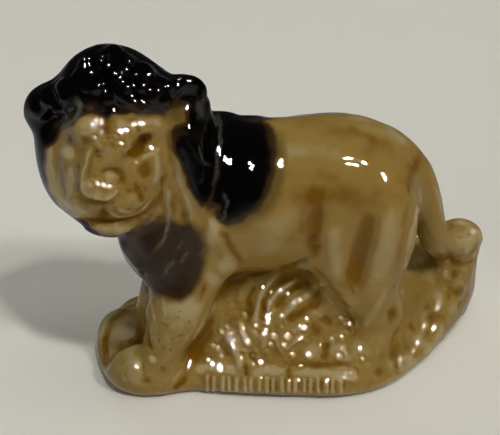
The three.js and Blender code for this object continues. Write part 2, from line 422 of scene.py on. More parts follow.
    def noted(self, name: str) -> np.ndarray:
        """Reads a value kept for each corner.

        Args:
            name: The name of the value.

        Returns:
            The values, in the order of the corners.
        """
        kept = self.form.verts.layers.float[name]
        return np.array([vert[kept] for vert in self.form.verts])

    def level(self, height: float) -> None:
        """Cuts the underside flat and sets it on the table.

        Args:
            height: How much clay the cut takes off.
        """
        everything = [*self.form.verts, *self.form.edges, *self.form.faces]
        bmesh.ops.bisect_plane(self.form, geom=everything, plane_co=(0, 0, height), plane_no=(0, 0, -1),
                               clear_outer=True)
        rim = [edge for edge in self.form.edges if edge.is_boundary]
        bmesh.ops.translate(self.form, vec=(0, 0, -height), verts=list({v for e in rim for v in e.verts}))
        bmesh.ops.contextual_create(self.form, geom=rim)


class Relief:
    """Strokes worked into the finished skin: each raises or sinks it along its own normals."""

    def __init__(self, clay: Clay) -> None:
        """Reads the skin.

        Args:
            clay: The clay with all its masses melted in.
        """
        self.clay = clay
        self.points, self.normals = clay.read()
        self.lift = np.zeros(len(self.points))

    def stroke(self, side: Side, places: Sequence[Pair], reach: float, height: float,
               ends: Ends = Ends.FADING) -> None:
        """Draws one stroke from a side.

        Args:
            side: The side it is drawn from.
            places: The places on that side's sheet that it passes.
            reach: How far it reaches from its own line.
            height: How far it stands out, or sinks in where negative.
            ends: How it begins and ends.
        """
        found = [self.clay.touch(side, place) for place in places]
        route = [hit[0] for hit in found if hit is not None]
        if len(route) < len(places):
            log.warning("a stroke misses the clay at %s %s", side.value, places)
        if len(route) > 1:
            self.run(route, reach, height, ends)

    def run(self, route: Sequence[Vector], reach: float, height: float, ends: Ends) -> None:
        """Works one stroke along points in space.

        Args:
            route: The points that it passes.
            reach: How far it reaches from its own line.
            height: How far it stands out, or sinks in where negative.
            ends: How it begins and ends.
        """
        line = np.array(spline(route, reach * 0.4))
        low, high = line.min(0) - reach, line.max(0) + reach
        near = np.flatnonzero(((self.points > low) & (self.points < high)).all(1))
        if not len(near):
            return
        gaps = np.linalg.norm(self.points[near, None] - line[None], axis=2)
        share = gaps.argmin(1) / max(len(line) - 1, 1)
        strength = np.clip(4 * np.minimum(share, 1 - share) + 0.25, 0, 1) if ends is Ends.FADING else 1.0
        part = np.clip(gaps.min(1) / reach, 0, 1)
        self.lift[near] += height * strength * (0.5 + 0.5 * np.cos(math.pi * part))

    def dent(self, side: Side, place: Pair, reach: float, height: float) -> None:
        """Presses a round dent, or raises a round bump.

        Args:
            side: The side it is drawn from.
            place: Its place on that side's sheet.
            reach: Its radius.
            height: How far it stands out, or sinks in where negative.
        """
        found = self.clay.touch(side, place)
        if found is not None:
            self.run([found[0], found[0] + Vector((0.01, 0, 0))], reach, height, Ends.BLUNT)

    def roughen(self, centre: Triple, radii: Triple, size: float, height: float) -> None:
        """Makes the skin uneven inside an egg.

        Args:
            centre: The middle of the egg.
            radii: Its three radii.
            size: How far apart the bumps are.
            height: How far they stand out.
        """
        reach = np.linalg.norm((self.points - centre) / radii, axis=1)
        near = np.flatnonzero(reach < 1)
        bumps = np.array([noise.noise(Vector(point) / size) for point in self.points[near]])
        self.lift[near] += height * bumps * np.clip(4 * (1 - reach[near]), 0, 1)

    def settle(self) -> None:
        """Moves the skin by all the strokes together, and keeps it above the table."""
        moved = self.points + self.normals * self.lift[:, None]
        for vert, point in zip(self.clay.form.verts, moved):
            vert.co = (point[0], point[1], max(0.0, point[2]))
        self.clay.note("lift", self.lift)


class Facets:
    """Small patches of the finished skin, turned to where the small lamps are mirrored."""

    lit: Triple = (0.29, -0.69, 0.66)
    fewest: int = 5
    steepest: float = 0.6

    def __init__(self, clay: Clay) -> None:
        """Reads the skin.

        Args:
            clay: The clay with its relief settled.
        """
        self.clay = clay
        self.points, self.normals = clay.read()
        clay.skin = BVHTree.FromBMesh(clay.form)

    def turn(self, place: Pair, reach: float, bulge: float) -> None:
        """Turns one patch towards the lamps.

        Args:
            place: Its place on the shown sheet.
            reach: Its radius.
            bulge: How round the patch itself is, as the radius of a ball.
        """
        found = self.clay.touch(Side.SHOWN, place)
        if found is None:
            log.warning("a facet misses the clay at %s", place)
            return
        offset = self.points - np.array(found[0])
        gap = np.linalg.norm(offset, axis=1)
        near = np.flatnonzero(gap < reach)
        if len(near) < self.fewest:
            return
        out = self.normals[near].mean(0)
        out /= np.linalg.norm(out)
        goal = np.array(self.lit) / np.linalg.norm(self.lit)
        slope = out - goal / max(goal @ out, self.steepest)
        height = offset[near] @ out
        wanted = height.mean() + offset[near] @ slope - gap[near] ** 2 / (2 * bulge)
        weight = np.clip(2.0 * (1 - gap[near] / reach), 0, 1)
        weight = weight ** 2 * (3 - 2 * weight)
        self.points[near] += (weight * (wanted - height))[:, None] * out

    def settle(self) -> None:
        """Moves the skin to the patches."""
        for vert, point in zip(self.clay.form.verts, self.points):
            vert.co = point


@dataclass(frozen=True)
class Dab:
    """A flattened bead at a pixel. Its radii go across, up and out of the skin, its lean is in degrees."""

    place: Pair
    radii: Triple
    rise: float
    lean: float = 0.0
    tip: float = 0.0
    late: bool = False

    def press(self, clay: Clay) -> None:
        """Presses it on the shown side."""
        clay.dab(Side.SHOWN, at(self.place), self.radii, self.rise, self.lean, self.tip)


@dataclass(frozen=True)
class Lock:
    """A roll of clay along some pixels, with its radius at each and its rise as a part of that."""

    route: Route
    radii: tuple[float, ...]
    rise: float
    late: bool = False

    def press(self, clay: Clay) -> None:
        """Lays it on the shown side."""
        clay.lock(Side.SHOWN, along(self.route), self.radii, self.rise)


@dataclass(frozen=True)
class Stroke:
    """A stroke along some pixels that stands out of the skin, or sinks in where its height is negative."""

    route: Route
    reach: float
    height: float

    def draw(self, relief: Relief) -> None:
        """Draws it on the shown side."""
        relief.stroke(Side.SHOWN, along(self.route), self.reach, self.height)


@dataclass(frozen=True)
class Dent:
    """A round dent at a pixel, or a bump where its height is positive."""

    place: Pair
    reach: float
    height: float

    def draw(self, relief: Relief) -> None:
        """Presses it into the shown side."""
        relief.dent(Side.SHOWN, at(self.place), self.reach, self.height)


@dataclass(frozen=True)
class Rough:
    """Uneven skin inside an egg in space."""

    centre: Triple
    radii: Triple
    size: float
    height: float

    def draw(self, relief: Relief) -> None:
        """Roughens it."""
        relief.roughen(self.centre, self.radii, self.size, self.height)


@dataclass(frozen=True)
class Glints:
    """Pixels whose patches of skin are turned to the lamps."""

    places: Route
    reach: float
    bulge: float = 1.8

    def shine(self, facets: Facets) -> None:
        """Turns them one after the other."""
        for place in self.places:
            facets.turn(at(place), self.reach, self.bulge)


@dataclass(frozen=True)
class Part:
    """A part of the figurine, whose fields are the masses, the strokes and the glints that make it."""

    def made_of(self, *kinds: type) -> list:
        """The part's fields of some kinds, in their order."""
        held = [getattr(self, named.name) for named in fields(self)]
        return [each for each in held if isinstance(each, kinds)]

    def press(self, clay: Clay) -> None:
        """Presses on the part's first masses."""
        for mass in [mass for mass in self.made_of(Dab, Lock) if not mass.late]:
            mass.press(clay)

    def press_late(self, clay: Clay) -> None:
        """Lays the part's finer masses over the first, once those are melted in."""
        for mass in [mass for mass in self.made_of(Dab, Lock) if mass.late]:
            mass.press(clay)

    def draw(self, relief: Relief) -> None:
        """Draws the part's strokes."""
        for mark in self.made_of(Stroke, Dent, Rough):
            mark.draw(relief)

    def shine(self, facets: Facets) -> None:
        """Turns the patches of the part that catch the light."""
        for glints in self.made_of(Glints):
            glints.shine(facets)


@dataclass(frozen=True)
class Face(Part):
    """The face: muzzle, nose, brows, eyes and cheeks, with the strands of the far cheek."""

    far_brow: Dab = Dab((91, 129), (1.7, 1.6, 1.0), 0.15, tip=0.15)
    near_brow: Dab = Dab((120, 133), (1.7, 1.9, 1.0), 0.15, lean=-8, tip=0.15)
    near_brow_end: Lock = Lock(((137, 126), (152, 124), (166, 128)), (0.85, 0.8, 0.6), 0.3)
    nose: Dab = Dab((102, 188), (2.1, 1.35, 0.7), 0.34, tip=0.3)
    bridge: Lock = Lock(((108, 146), (109, 168)), (1.7, 1.4), 0.2)
    near_pad: Dab = Dab((131, 201), (2.3, 1.7, 1.6), 0.36)
    far_pad: Dab = Dab((82, 205), (1.3, 1.3, 1.1), 0.35)
    chin: Dab = Dab((116, 229), (2.2, 0.85, 1.0), 0.35)
    near_cheek: Dab = Dab((156, 168), (0.9, 2.2, 0.9), 0.3)
    far_eyelid: Dab = Dab((67, 153), (0.85, 0.95, 0.8), 0.4)
    far_edge_strand: Lock = Lock(
        ((50, 146), (51, 168), (54, 188), (62, 207)), (0.35, 0.45, 0.4, 0.3), 0.4, late=True)
    far_strand: Lock = Lock(
        ((73, 164), (70, 185), (69, 203), (74, 214), (84, 221)), (0.3, 0.4, 0.4, 0.36, 0.3), 0.4, late=True)
    near_lid_fold: Lock = Lock(((143, 158), (151, 156), (159, 147)), (0.3, 0.38, 0.28), 0.45, late=True)
    near_eye: Dab = Dab((148, 147), (0.5, 0.42, 0.45), 0.25, tip=0.5, late=True)
    mouth_groove: Stroke = Stroke(
        ((74, 217), (88, 221), (103, 222), (121, 221), (137, 217), (150, 209), (157, 196)), 0.75, -0.2)
    mouth_line: Stroke = Stroke(
        ((80, 219), (92, 221), (103, 222), (121, 221), (137, 216), (149, 208)), 0.3, -0.25)
    upper_lip: Stroke = Stroke(
        ((104, 207), (112, 214), (126, 217), (140, 213), (149, 204), (154, 192)), 0.4, 0.1)
    lip_fold: Stroke = Stroke(((118, 208), (127, 212), (137, 210)), 0.3, 0.1)
    muzzle_top: Stroke = Stroke(((124, 178), (132, 177), (143, 180)), 1.2, 0.16)
    lip_crease: Stroke = Stroke(((113, 211), (124, 215)), 0.22, -0.08)
    philtrum: Stroke = Stroke(((103, 203), (104, 211), (105, 217)), 0.6, -0.22)
    nose_underside: Stroke = Stroke(((84, 197), (93, 202), (104, 203), (114, 199), (121, 191)), 0.45, -0.22)
    nose_arch: Stroke = Stroke(((99, 175), (105, 170), (114, 169), (121, 175), (122, 187)), 0.65, -0.22)
    nose_rim: Stroke = Stroke(((120, 189), (115, 195), (103, 199), (90, 195)), 0.3, 0.12)
    nose_foot: Stroke = Stroke(((92, 195), (103, 197), (112, 194)), 0.9, 0.14)
    nose_skin: Rough = Rough((-14.3, -9.5, 25.0), (2.4, 2.0, 2.0), 0.55, 0.035)
    brow_skin: Rough = Rough((-14.3, -7.5, 29.0), (4.2, 2.5, 2.4), 0.6, 0.04)
    near_eye_slit: Stroke = Stroke(((133, 154), (138, 145), (145, 139), (154, 138)), 0.7, -0.32)
    near_lid: Stroke = Stroke(((139, 134), (147, 131), (158, 133)), 0.45, 0.12)
    near_cheek_dimple: Dent = Dent((146, 172), 1.2, -0.25)
    cheek_fold: Stroke = Stroke(((134, 180), (139, 190), (140, 202)), 0.6, -0.12)
    far_eye: Dent = Dent((97, 154), 0.8, -0.22)
    far_lid: Dent = Dent((98, 147), 0.5, 0.12)
    far_muzzle_ridge: Stroke = Stroke(((78, 150), (90, 149), (86, 162), (82, 175), (82, 190)), 0.3, 0.12)
    far_muzzle_groove: Stroke = Stroke(((91, 158), (88, 170), (87, 180)), 0.5, -0.12)
    far_cheek_groove: Stroke = Stroke(((77, 163), (77, 178), (77, 192)), 0.35, -0.16)
    forehead_groove: Stroke = Stroke(((106, 114), (106, 128), (107, 142)), 1.1, -0.2)
    brow_notch: Stroke = Stroke(((134, 118), (138, 130)), 0.5, -0.15)
    far_brow_dimple: Dent = Dent((87, 141), 0.8, -0.15)
    far_cheek_hollow: Stroke = Stroke(((57, 156), (60, 178), (65, 200)), 0.7, -0.2)
    far_temple: Stroke = Stroke(((66, 138), (73, 142)), 0.8, -0.25)
    jaw_fold: Stroke = Stroke(((162, 176), (163, 190), (158, 204)), 0.35, -0.18)
    skin_lumps: Rough = Rough((-14.0, -8.0, 23.0), (6.0, 4.0, 8.0), 1.3, 0.16)
    skin_grain: Rough = Rough((-14.0, -8.0, 23.0), (6.0, 4.0, 8.0), 0.6, 0.06)
    brow_glints: Glints = Glints(
        ((92, 125), (94, 137.5), (121, 131), (126.5, 130), (116, 136.5), (121, 143)), 0.36, 1.5)
    eye_glints: Glints = Glints(((142, 123.6), (150.7, 147.5)), 0.42, 1.6)
    nose_glints: Glints = Glints(((91, 185), (97, 183.5), (103.5, 185), (110, 187)), 0.4, 1.2)


@dataclass(frozen=True)
class Mane(Part):
    """The mane: crown, ears, side locks and the dark chest."""

    near_ear: Lock = Lock(
        ((173, 95), (176, 87), (184, 81), (195, 80), (204, 89), (208, 103), (207, 114)),
        (0.4, 0.6, 0.7, 0.75, 0.75, 0.65, 0.5), 0.5)
    throat_curl: Dab = Dab((126, 250), (1.0, 1.6, 1.0), 0.35, lean=-45)
    chest_curl: Dab = Dab((138, 266), (0.9, 1.4, 1.0), 0.3, lean=-50)
    far_ear_fold: Lock = Lock(
        ((73, 95), (77, 105), (75, 116), (68, 124), (57, 131)), (0.35, 0.42, 0.42, 0.36, 0.3), 0.6)
    far_crown_lock: Lock = Lock(((28, 112), (36, 97), (52, 86), (66, 84)), (0.5, 0.7, 0.7, 0.5), 0.35)
    side_lock: Lock = Lock(((190, 132), (196, 155), (200, 180), (201, 200)), (1.1, 1.3, 1.1, 0.5), 0.3)
    back_lock: Lock = Lock(((213, 122), (215, 150), (210, 180), (205, 206)), (0.7, 0.8, 0.75, 0.5), 0.25)
    cheek_lock: Lock = Lock(((171, 165), (179, 190), (190, 214)), (0.55, 0.6, 0.4), 0.35)
    throat_lock: Lock = Lock(((162, 186), (165, 208), (161, 232)), (0.5, 0.55, 0.4), 0.35)
    beard_lock: Lock = Lock(((173, 200), (178, 220), (173, 238)), (0.5, 0.55, 0.4), 0.35)
    shoulder_lock: Lock = Lock(((212, 190), (221, 205), (227, 221)), (0.55, 0.6, 0.45), 0.35)
    throat_strand: Lock = Lock(
        ((167, 192), (168, 212), (166, 232), (158, 246), (152, 251)), (0.3, 0.36, 0.38, 0.34, 0.25), 0.5,
        late=True)
    beard_strand: Lock = Lock(((186, 196), (190, 210), (191, 222)), (0.3, 0.32, 0.2), 0.5, late=True)
    shoulder_fold: Lock = Lock(((213, 222), (222, 246), (236, 265)), (1.0, 1.1, 0.6), 0.25, late=True)
    crown_grain: Rough = Rough((-13.5, -3.0, 32.0), (9.0, 6.0, 5.0), 0.6, 0.04)
    ear_hollow: Dent = Dent((191, 97), 1.5, -0.5)
    ear_rim: Stroke = Stroke(((196, 118), (201, 106), (199, 92)), 0.4, 0.2)
    far_ear_cut: Stroke = Stroke(((62, 114), (58, 126)), 0.55, -0.4)
    chest_hair: Stroke = Stroke(((174, 258), (164, 274)), 0.3, 0.14)
    second_chest_hair: Stroke = Stroke(((188, 251), (180, 262)), 0.28, 0.14)
    third_chest_hair: Stroke = Stroke(((183, 238), (176, 250)), 0.25, 0.12)
    last_chest_hair: Stroke = Stroke(((205, 246), (199, 256)), 0.25, 0.1)
    back_groove: Stroke = Stroke(((207, 128), (208, 160), (203, 190)), 0.5, -0.25)
    side_groove: Stroke = Stroke(((181, 150), (187, 175), (196, 200)), 0.45, -0.2)
    side_ridge: Stroke = Stroke(((174, 165), (181, 186), (192, 206)), 0.35, 0.2)
    lock_ridge: Stroke = Stroke(((185, 134), (196, 150), (204, 165)), 0.3, 0.12)
    nape_ridge: Stroke = Stroke(((218, 124), (221, 147), (216, 176), (213, 197)), 0.4, 0.1)
    shoulder_ridge: Stroke = Stroke(((224, 192), (226, 205), (223, 218)), 0.4, 0.1)
    nape_groove: Stroke = Stroke(((232, 126), (234, 160), (230, 196), (226, 216)), 0.7, -0.2)
    curls: tuple[tuple[Pair, float], ...] = (
        ((104, 62), 1.3), ((128, 62), 1.25), ((147, 71), 1.2), ((84, 72), 1.25), ((115, 77), 1.35),
        ((64, 86), 1.25), ((94, 88), 1.35), ((123, 91), 1.3), ((139, 82), 1.2), ((152, 90), 1.15),
        ((164, 84), 1.1), ((107, 103), 1.15), ((88, 104), 1.1), ((135, 104), 1.15), ((152, 104), 0.95),
        ((70, 97), 1.0), ((45, 96), 1.1), ((38, 110), 1.1), ((165, 101), 0.9), ((114, 50), 1.1),
    )
    bump_rows: int = 6
    bump_columns: int = 11
    bump_start: Pair = (34, 52)
    bump_pitch: Pair = (14.5, 12.0)
    bump_sway: float = 2.6
    bump_reach: float = 0.85
    face_middle: float = 112
    chest_furrows: int = 7
    chest_bow: float = 0.2
    throat_hairs: int = 6

    def press(self, clay: Clay) -> None:
        """Presses on the locks, and then the large curls of the crown.

        Args:
            clay: The clay.
        """
        super().press(clay)
        for place, size in self.curls:
            Dab(place, (size * 0.9, size * 0.85, size * 0.85), size * 0.5, tip=0.3).press(clay)

    def draw(self, relief: Relief) -> None:
        """Draws the hair.

        Args:
            relief: The relief that it is worked into.
        """
        self.bumps(relief)
        super().draw(relief)
        self.furrows(relief)

    def bumps(self, relief: Relief) -> None:
        """Covers the crown with small round curls, row by row round the face, in pixels.

        Args:
            relief: The relief that they are worked into.
        """
        for row in range(self.bump_rows):
            for step in range(self.bump_columns):
                x = self.bump_start[0] + self.bump_pitch[0] * step + 7.2 * (row % 2)
                x += self.bump_sway * math.sin(5.1 * row + 2.3 * step)
                y = self.bump_start[1] + self.bump_pitch[1] * row
                y += self.bump_sway * math.cos(3.7 * row + 4.1 * step)
                top = 50 + 0.011 * (x - self.face_middle) ** 2
                foot = 114 - 0.2 * max(0.0, x - 150)
                if top < y < foot and x < 172:
                    Dent((x, y), self.bump_reach, 0.3 + 0.08 * math.sin(7.3 * row + 3.1 * step)).draw(relief)

    def furrows(self, relief: Relief) -> None:
        """Draws the hair of the chest and the throat, by turns a ridge and a furrow, in pixels.

        Args:
            relief: The relief that it is worked into.
        """
        for k in range(1, self.chest_furrows + 1):
            top, foot = (124 + 11 * k, 240 + 4 * (k % 3)), (136 + 9 * k, 276 + 3 * (k % 2))
            middle = ((top[0] + foot[0]) / 2 + self.chest_bow * PIXELS_TO_A_MM, (top[1] + foot[1]) / 2)
            Stroke((top, middle, foot), 0.4, -0.1 if k % 2 else 0.08).draw(relief)
        for k in range(self.throat_hairs):
            route = ((160 + 9 * k, 188 + 4 * k), (164 + 9 * k, 206 + 3 * k), (163 + 10 * k, 224 + 2 * k))
            Stroke(route, 0.35, 0.12 if k % 2 else -0.12).draw(relief)


@dataclass(frozen=True)
class Forelegs(Part):
    """The forelegs and their paws."""

    far_paw: Dab = Dab((129, 328), (1.3, 1.4, 1.0), 0.35)
    far_toe: Dab = Dab((112, 353), (0.9, 1.2, 0.8), 0.3)
    near_paw: Dab = Dab((135, 377), (1.8, 1.5, 1.1), 0.25)
    near_toe: Dab = Dab((135, 365), (0.8, 0.75, 0.7), 0.3)
    near_second_toe: Dab = Dab((151, 359), (0.8, 0.75, 0.7), 0.3)
    far_paw_rim: Lock = Lock(
        ((142, 298), (125, 306), (112, 314), (105, 323), (102, 338), (102, 355)),
        (0.3, 0.32, 0.32, 0.32, 0.32, 0.28), 0.5)
    far_leg_edge: Lock = Lock(((149, 282), (146, 305), (150, 330)), (0.3, 0.36, 0.25), 0.5)
    near_leg_edge: Lock = Lock(((154, 286), (159, 302), (166, 315)), (0.28, 0.3, 0.2), 0.5)
    far_paw_groove: Stroke = Stroke(((137, 306), (119, 315), (109, 329), (105, 346), (108, 364)), 0.45, -0.3)
    far_toe_gap: Stroke = Stroke(((119, 347), (131, 341), (147, 344)), 0.5, -0.3)
    far_leg_gap: Stroke = Stroke(((147, 318), (148, 342), (153, 350)), 0.5, -0.3)
    toe_gap: Stroke = Stroke(((140, 362), (143, 370), (144, 378)), 0.4, -0.2)
    toe_line: Stroke = Stroke(((124, 372), (128, 384)), 0.45, -0.15)
    paw_pit: Dent = Dent((146, 382), 0.7, -0.3)
    toe_bump: Dent = Dent((136, 365), 0.8, 0.22)
    second_toe_bump: Dent = Dent((152, 360), 0.7, 0.22)
    far_toe_bump: Dent = Dent((130, 355), 0.5, 0.14)
    leg_furrow: Stroke = Stroke(((210, 312), (195, 336), (182, 357)), 0.3, -0.13)
    second_leg_furrow: Stroke = Stroke(((217, 308), (203, 332), (190, 352)), 0.3, -0.13)
    shin_line: Stroke = Stroke(((160, 300), (157, 330), (160, 352)), 0.35, -0.1)
    hair_ridges: tuple[Route, ...] = (
        ((219, 300), (186, 362)), ((213, 298), (181, 358)), ((206, 300), (175, 356)),
        ((224, 290), (199, 345)),
    )
    paw_glints: Glints = Glints(((138, 364), (152.5, 359)), 0.5, 1.6)
    ridge_reach: float = 0.35
    ridge_bow: float = 2.0

    def draw(self, relief: Relief) -> None:
        """Draws the toes and the ridges of hair.

        Args:
            relief: The relief that they are worked into.
        """
        super().draw(relief)
        for k, (top, foot) in enumerate(self.hair_ridges):
            middle = ((top[0] + foot[0]) / 2 + self.ridge_bow, (top[1] + foot[1]) / 2 + self.ridge_bow)
            Stroke((top, middle, foot), self.ridge_reach, 0.13 - 0.02 * k).draw(relief)


@dataclass(frozen=True)
class HindLegs(Part):
    """The hind legs, the flank and the rump, with the folds between the muscles."""

    inner_toe: Lock = Lock(((372, 334), (366, 347)), (0.6, 0.55), 0.35)
    middle_toe: Lock = Lock(((381, 334), (377, 351)), (0.6, 0.55), 0.35)
    outer_toe: Lock = Lock(((390, 336), (387, 351)), (0.5, 0.5), 0.35)
    thigh_groove: Stroke = Stroke(((373, 208), (367, 234), (357, 262), (348, 292)), 1.6, -0.45)
    flank_crevice: Stroke = Stroke(((318, 208), (315, 232), (314, 253)), 1.3, -0.55)
    thigh_ridge: Stroke = Stroke(((334, 222), (336, 250), (345, 286), (356, 312)), 1.5, 0.25)
    thigh_swell: Stroke = Stroke(((387, 205), (384, 245), (376, 285)), 2.2, 0.24)
    flank_swell: Stroke = Stroke(((300, 205), (276, 230), (262, 258)), 2.5, 0.2)
    rump_edge: Stroke = Stroke(((357, 127), (391, 134), (406, 144)), 0.9, 0.12)
    leg_seam: Stroke = Stroke(
        ((414, 176), (420, 194), (416, 215), (409, 241), (405, 272), (402, 291), (405, 309), (406, 321),
         (398, 338)), 0.3, 0.2)
    seam_groove: Stroke = Stroke(((411, 205), (404, 235), (399, 268), (397, 290)), 0.6, -0.12)
    hock_pit: Dent = Dent((391, 315), 1.0, -0.4)
    shin_ridge: Stroke = Stroke(((387, 287), (373, 312), (363, 329)), 0.8, 0.2)
    belly_groove: Stroke = Stroke(((238, 273), (262, 273), (292, 266), (310, 257)), 0.6, -0.3)
    belly_edge: Stroke = Stroke(((240, 268), (268, 266), (293, 260), (309, 250)), 0.5, 0.12)
    foot_glints: Glints = Glints(
        ((345.3, 323.7), (350.2, 323.7), (347.2, 332.6), (360, 349), (363, 359), (368, 364)), 0.4)


@dataclass(frozen=True)
class Tail(Part):
    """The tail with its tuft, and the rock that it lies on."""

    tuft: Dab = Dab((467, 244), (1.3, 1.3, 1.0), 0.3)
    tuft_tip: Dab = Dab((478, 237), (0.7, 1.0, 0.7), 0.3, lean=20)
    rock: Dab = Dab((460, 222), (1.2, 0.6, 0.8), 0.35, lean=-75)
    tuft_skin: Rough = Rough((19.5, -0.5, 12.5), (3.6, 4.0, 4.0), 1.1, 0.5)
    rock_groove: Stroke = Stroke(((446, 250), (452, 261), (466, 264), (475, 259)), 0.5, -0.35)
    tuft_parting: Stroke = Stroke(((456, 236), (464, 236), (472, 232)), 0.4, -0.3)
    tuft_ridge: Stroke = Stroke(((458, 223), (467, 226), (476, 232), (482, 240)), 0.35, 0.2)
    tuft_cut: Stroke = Stroke(((473, 232), (476, 245), (470, 256)), 0.35, -0.2)
    tuft_lock: Stroke = Stroke(((462, 238), (466, 247), (463, 256)), 0.4, 0.12)
    tail_end_groove: Stroke = Stroke(((448, 222), (453, 230), (456, 239)), 0.4, -0.2)


@dataclass(frozen=True)
class Grass(Part):
    """The bank of grass under the belly: clumps, blades, furrows and the ledge before it."""

    right_clump: Dab = Dab((311, 352), (1.3, 1.05, 0.9), 0.35)
    foot_clump: Dab = Dab((339, 353), (1.35, 0.85, 0.8), 0.35, lean=60)
    low_clump: Dab = Dab((339, 337), (1.0, 0.9, 0.7), 0.25)
    belly_tuft: Dab = Dab((306, 267), (1.6, 0.8, 0.8), 0.3)
    left_ledge: Lock = Lock(((193, 369), (215, 368), (239, 369)), (0.5, 0.55, 0.5), 0.35)
    middle_ledge: Lock = Lock(((251, 373), (268, 371), (288, 370)), (0.5, 0.55, 0.5), 0.35)
    right_ledge: Lock = Lock(((291, 371), (316, 372), (341, 374), (355, 376)), (0.5, 0.5, 0.42, 0.3), 0.3)
    tall_blade: Stroke = Stroke(((255, 328), (258, 303), (265, 288), (280, 274)), 0.45, 0.4)
    second_blade: Stroke = Stroke(((265, 322), (270, 302), (280, 291), (299, 277)), 0.5, 0.42)
    third_blade: Stroke = Stroke(((279, 320), (293, 304), (305, 297), (323, 283)), 0.6, 0.45)
    first_furrow: Stroke = Stroke(((262, 316), (265, 300), (274, 288), (288, 278)), 0.5, -0.3)
    second_furrow: Stroke = Stroke(((274, 310), (286, 295), (304, 284)), 0.55, -0.35)
    third_furrow: Stroke = Stroke(((285, 323), (303, 311), (322, 300)), 0.7, -0.35)
    left_furrow: Stroke = Stroke(((247, 320), (249, 300), (256, 286)), 0.6, -0.3)
    left_blade: Stroke = Stroke(((240, 306), (241, 290), (249, 279)), 0.6, 0.2)
    low_blade: Stroke = Stroke(((238, 320), (242, 334), (250, 346)), 0.45, 0.35)
    short_blade: Stroke = Stroke(((284, 350), (294, 342), (304, 337)), 0.45, 0.35)
    second_short_blade: Stroke = Stroke(((276, 342), (279, 348), (283, 356)), 0.35, 0.3)
    paw_blade: Stroke = Stroke(((226, 334), (234, 349), (241, 370)), 0.6, 0.35)
    second_low_blade: Stroke = Stroke(((235, 347), (246, 352)), 0.35, 0.25)
    paw_furrow: Stroke = Stroke(((218, 340), (228, 358)), 0.6, -0.25)
    middle_furrow: Stroke = Stroke(((250, 352), (256, 366)), 0.5, -0.25)
    middle_blade: Stroke = Stroke(((264, 332), (262, 350)), 0.6, 0.25)
    right_blade: Stroke = Stroke(((290, 332), (306, 326)), 0.6, 0.25)
    right_furrow: Stroke = Stroke(((322, 316), (330, 326)), 0.7, -0.25)
    foot_furrow: Stroke = Stroke(((326, 342), (324, 362)), 0.6, -0.3)
    ledge_groove: Stroke = Stroke(((295, 364), (318, 365), (340, 364), (352, 366)), 0.5, -0.2)
    ledge_cut: Stroke = Stroke(((289, 368), (290, 379)), 0.35, -0.25)
    second_ledge_cut: Stroke = Stroke(((245, 366), (246, 378)), 0.45, -0.3)
    earth: Rough = Rough((2.0, -5.5, 6.0), (8.5, 4.5, 5.0), 0.9, 0.14)
    earth_grain: Rough = Rough((2.0, -5.5, 6.0), (9.5, 4.5, 5.0), 0.42, 0.07)
    large_glints: Glints = Glints(
        ((266.8, 316.8), (274.2, 336.4), (287.9, 336.4), (305, 328.4), (248.2, 341.7), (309, 355),
         (339, 356.5), (219.7, 368)), 0.6, 2.6)
    small_glints: Glints = Glints(
        ((305.8, 283.6), (286.8, 293.5), (280.5, 290.6), (271.6, 292.9), (263.2, 286.8), (269, 301),
         (282.2, 315.7), (294.2, 303), (299.9, 300.5), (308.4, 292.5), (237, 312.7), (256.9, 325.2),
         (254.7, 332.6), (265.3, 334.1), (271.2, 344), (284.7, 344.8), (266.4, 350.5), (281.8, 351.8),
         (292.7, 354.5), (306.7, 339.8), (306.9, 319.3), (221.6, 331.3), (256.4, 349.5), (253.1, 354.8),
         (260.7, 362.8), (266.8, 367.2), (213.2, 345.7), (217.8, 347.8), (207.5, 360), (212.3, 364.5),
         (332, 339.6), (342, 337), (341.3, 317.6), (297.8, 381.4), (326, 382), (341.7, 378.6)), 0.42, 1.4)
    ledge_glint: Glints = Glints(((352, 373.5),), 0.8, 1.2)


@dataclass(frozen=True)
class Band(Part):
    """The ledge's front edge, with its row of shallow strokes. Its places are pixels."""

    count: int = 19
    start: float = 207.0
    step: float = 7.4
    top: float = 376.0
    foot: float = 389.5
    reach: float = 0.32
    height: float = 0.3

    def strokes(self) -> list[Route]:
        """Places the strokes from the lion's front paw to its hind paw.

        Returns:
            The top and the foot of each.
        """
        found = []
        for k in range(self.count):
            x = self.start + self.step * k + 1.0 * math.sin(4.0 * k)
            slant = 0.5 * math.sin(2.6 * k)
            top = self.top + 2.2 * abs(math.sin(1.9 * k)) + 0.025 * (x - self.start)
            found.append(((x - slant / 2, top), (x + slant / 2, self.foot + 0.015 * (x - self.start))))
        return found

    def draw(self, relief: Relief) -> None:
        """Draws the strokes.

        Args:
            relief: The relief that they are worked into.
        """
        for k, route in enumerate(self.strokes()):
            reach = self.reach + 0.06 * math.sin(3.3 * k)
            relief.stroke(Side.SHOWN, along(route), reach, self.height, Ends.BLUNT)


@dataclass(frozen=True)
class Ground(Part):
    """The rest of the mound's top, at the tail's side, with shallow lumps beside hollows."""

    lumps: Route = (
        (417, 266), (425, 285), (440, 275), (455, 290), (432, 300), (448, 312), (418, 322), (436, 330),
        (414, 345), (424, 352), (404, 362), (385, 368), (460, 270), (465, 300), (450, 335), (438, 350),
    )
    lump_reach: float = 1.2
    hollow_reach: float = 1.1
    height: float = 0.3
    knob: Dent = Dent((452, 287), 0.6, 0.35)
    earth: Rough = Rough((17.0, 3.0, 5.0), (8.0, 10.0, 6.0), 1.3, 0.2)
    earth_grain: Rough = Rough((17.0, 3.0, 5.0), (8.0, 10.0, 6.0), 0.5, 0.06)

    def draw(self, relief: Relief) -> None:
        """Draws the lumps, each with a hollow to the lower left of it.

        Args:
            relief: The relief that they are worked into.
        """
        for x, y in self.lumps:
            Dent((x + 4, y - 4), self.lump_reach, self.height).draw(relief)
            Dent((x - 5, y + 5), self.hollow_reach, -self.height).draw(relief)
        super().draw(relief)


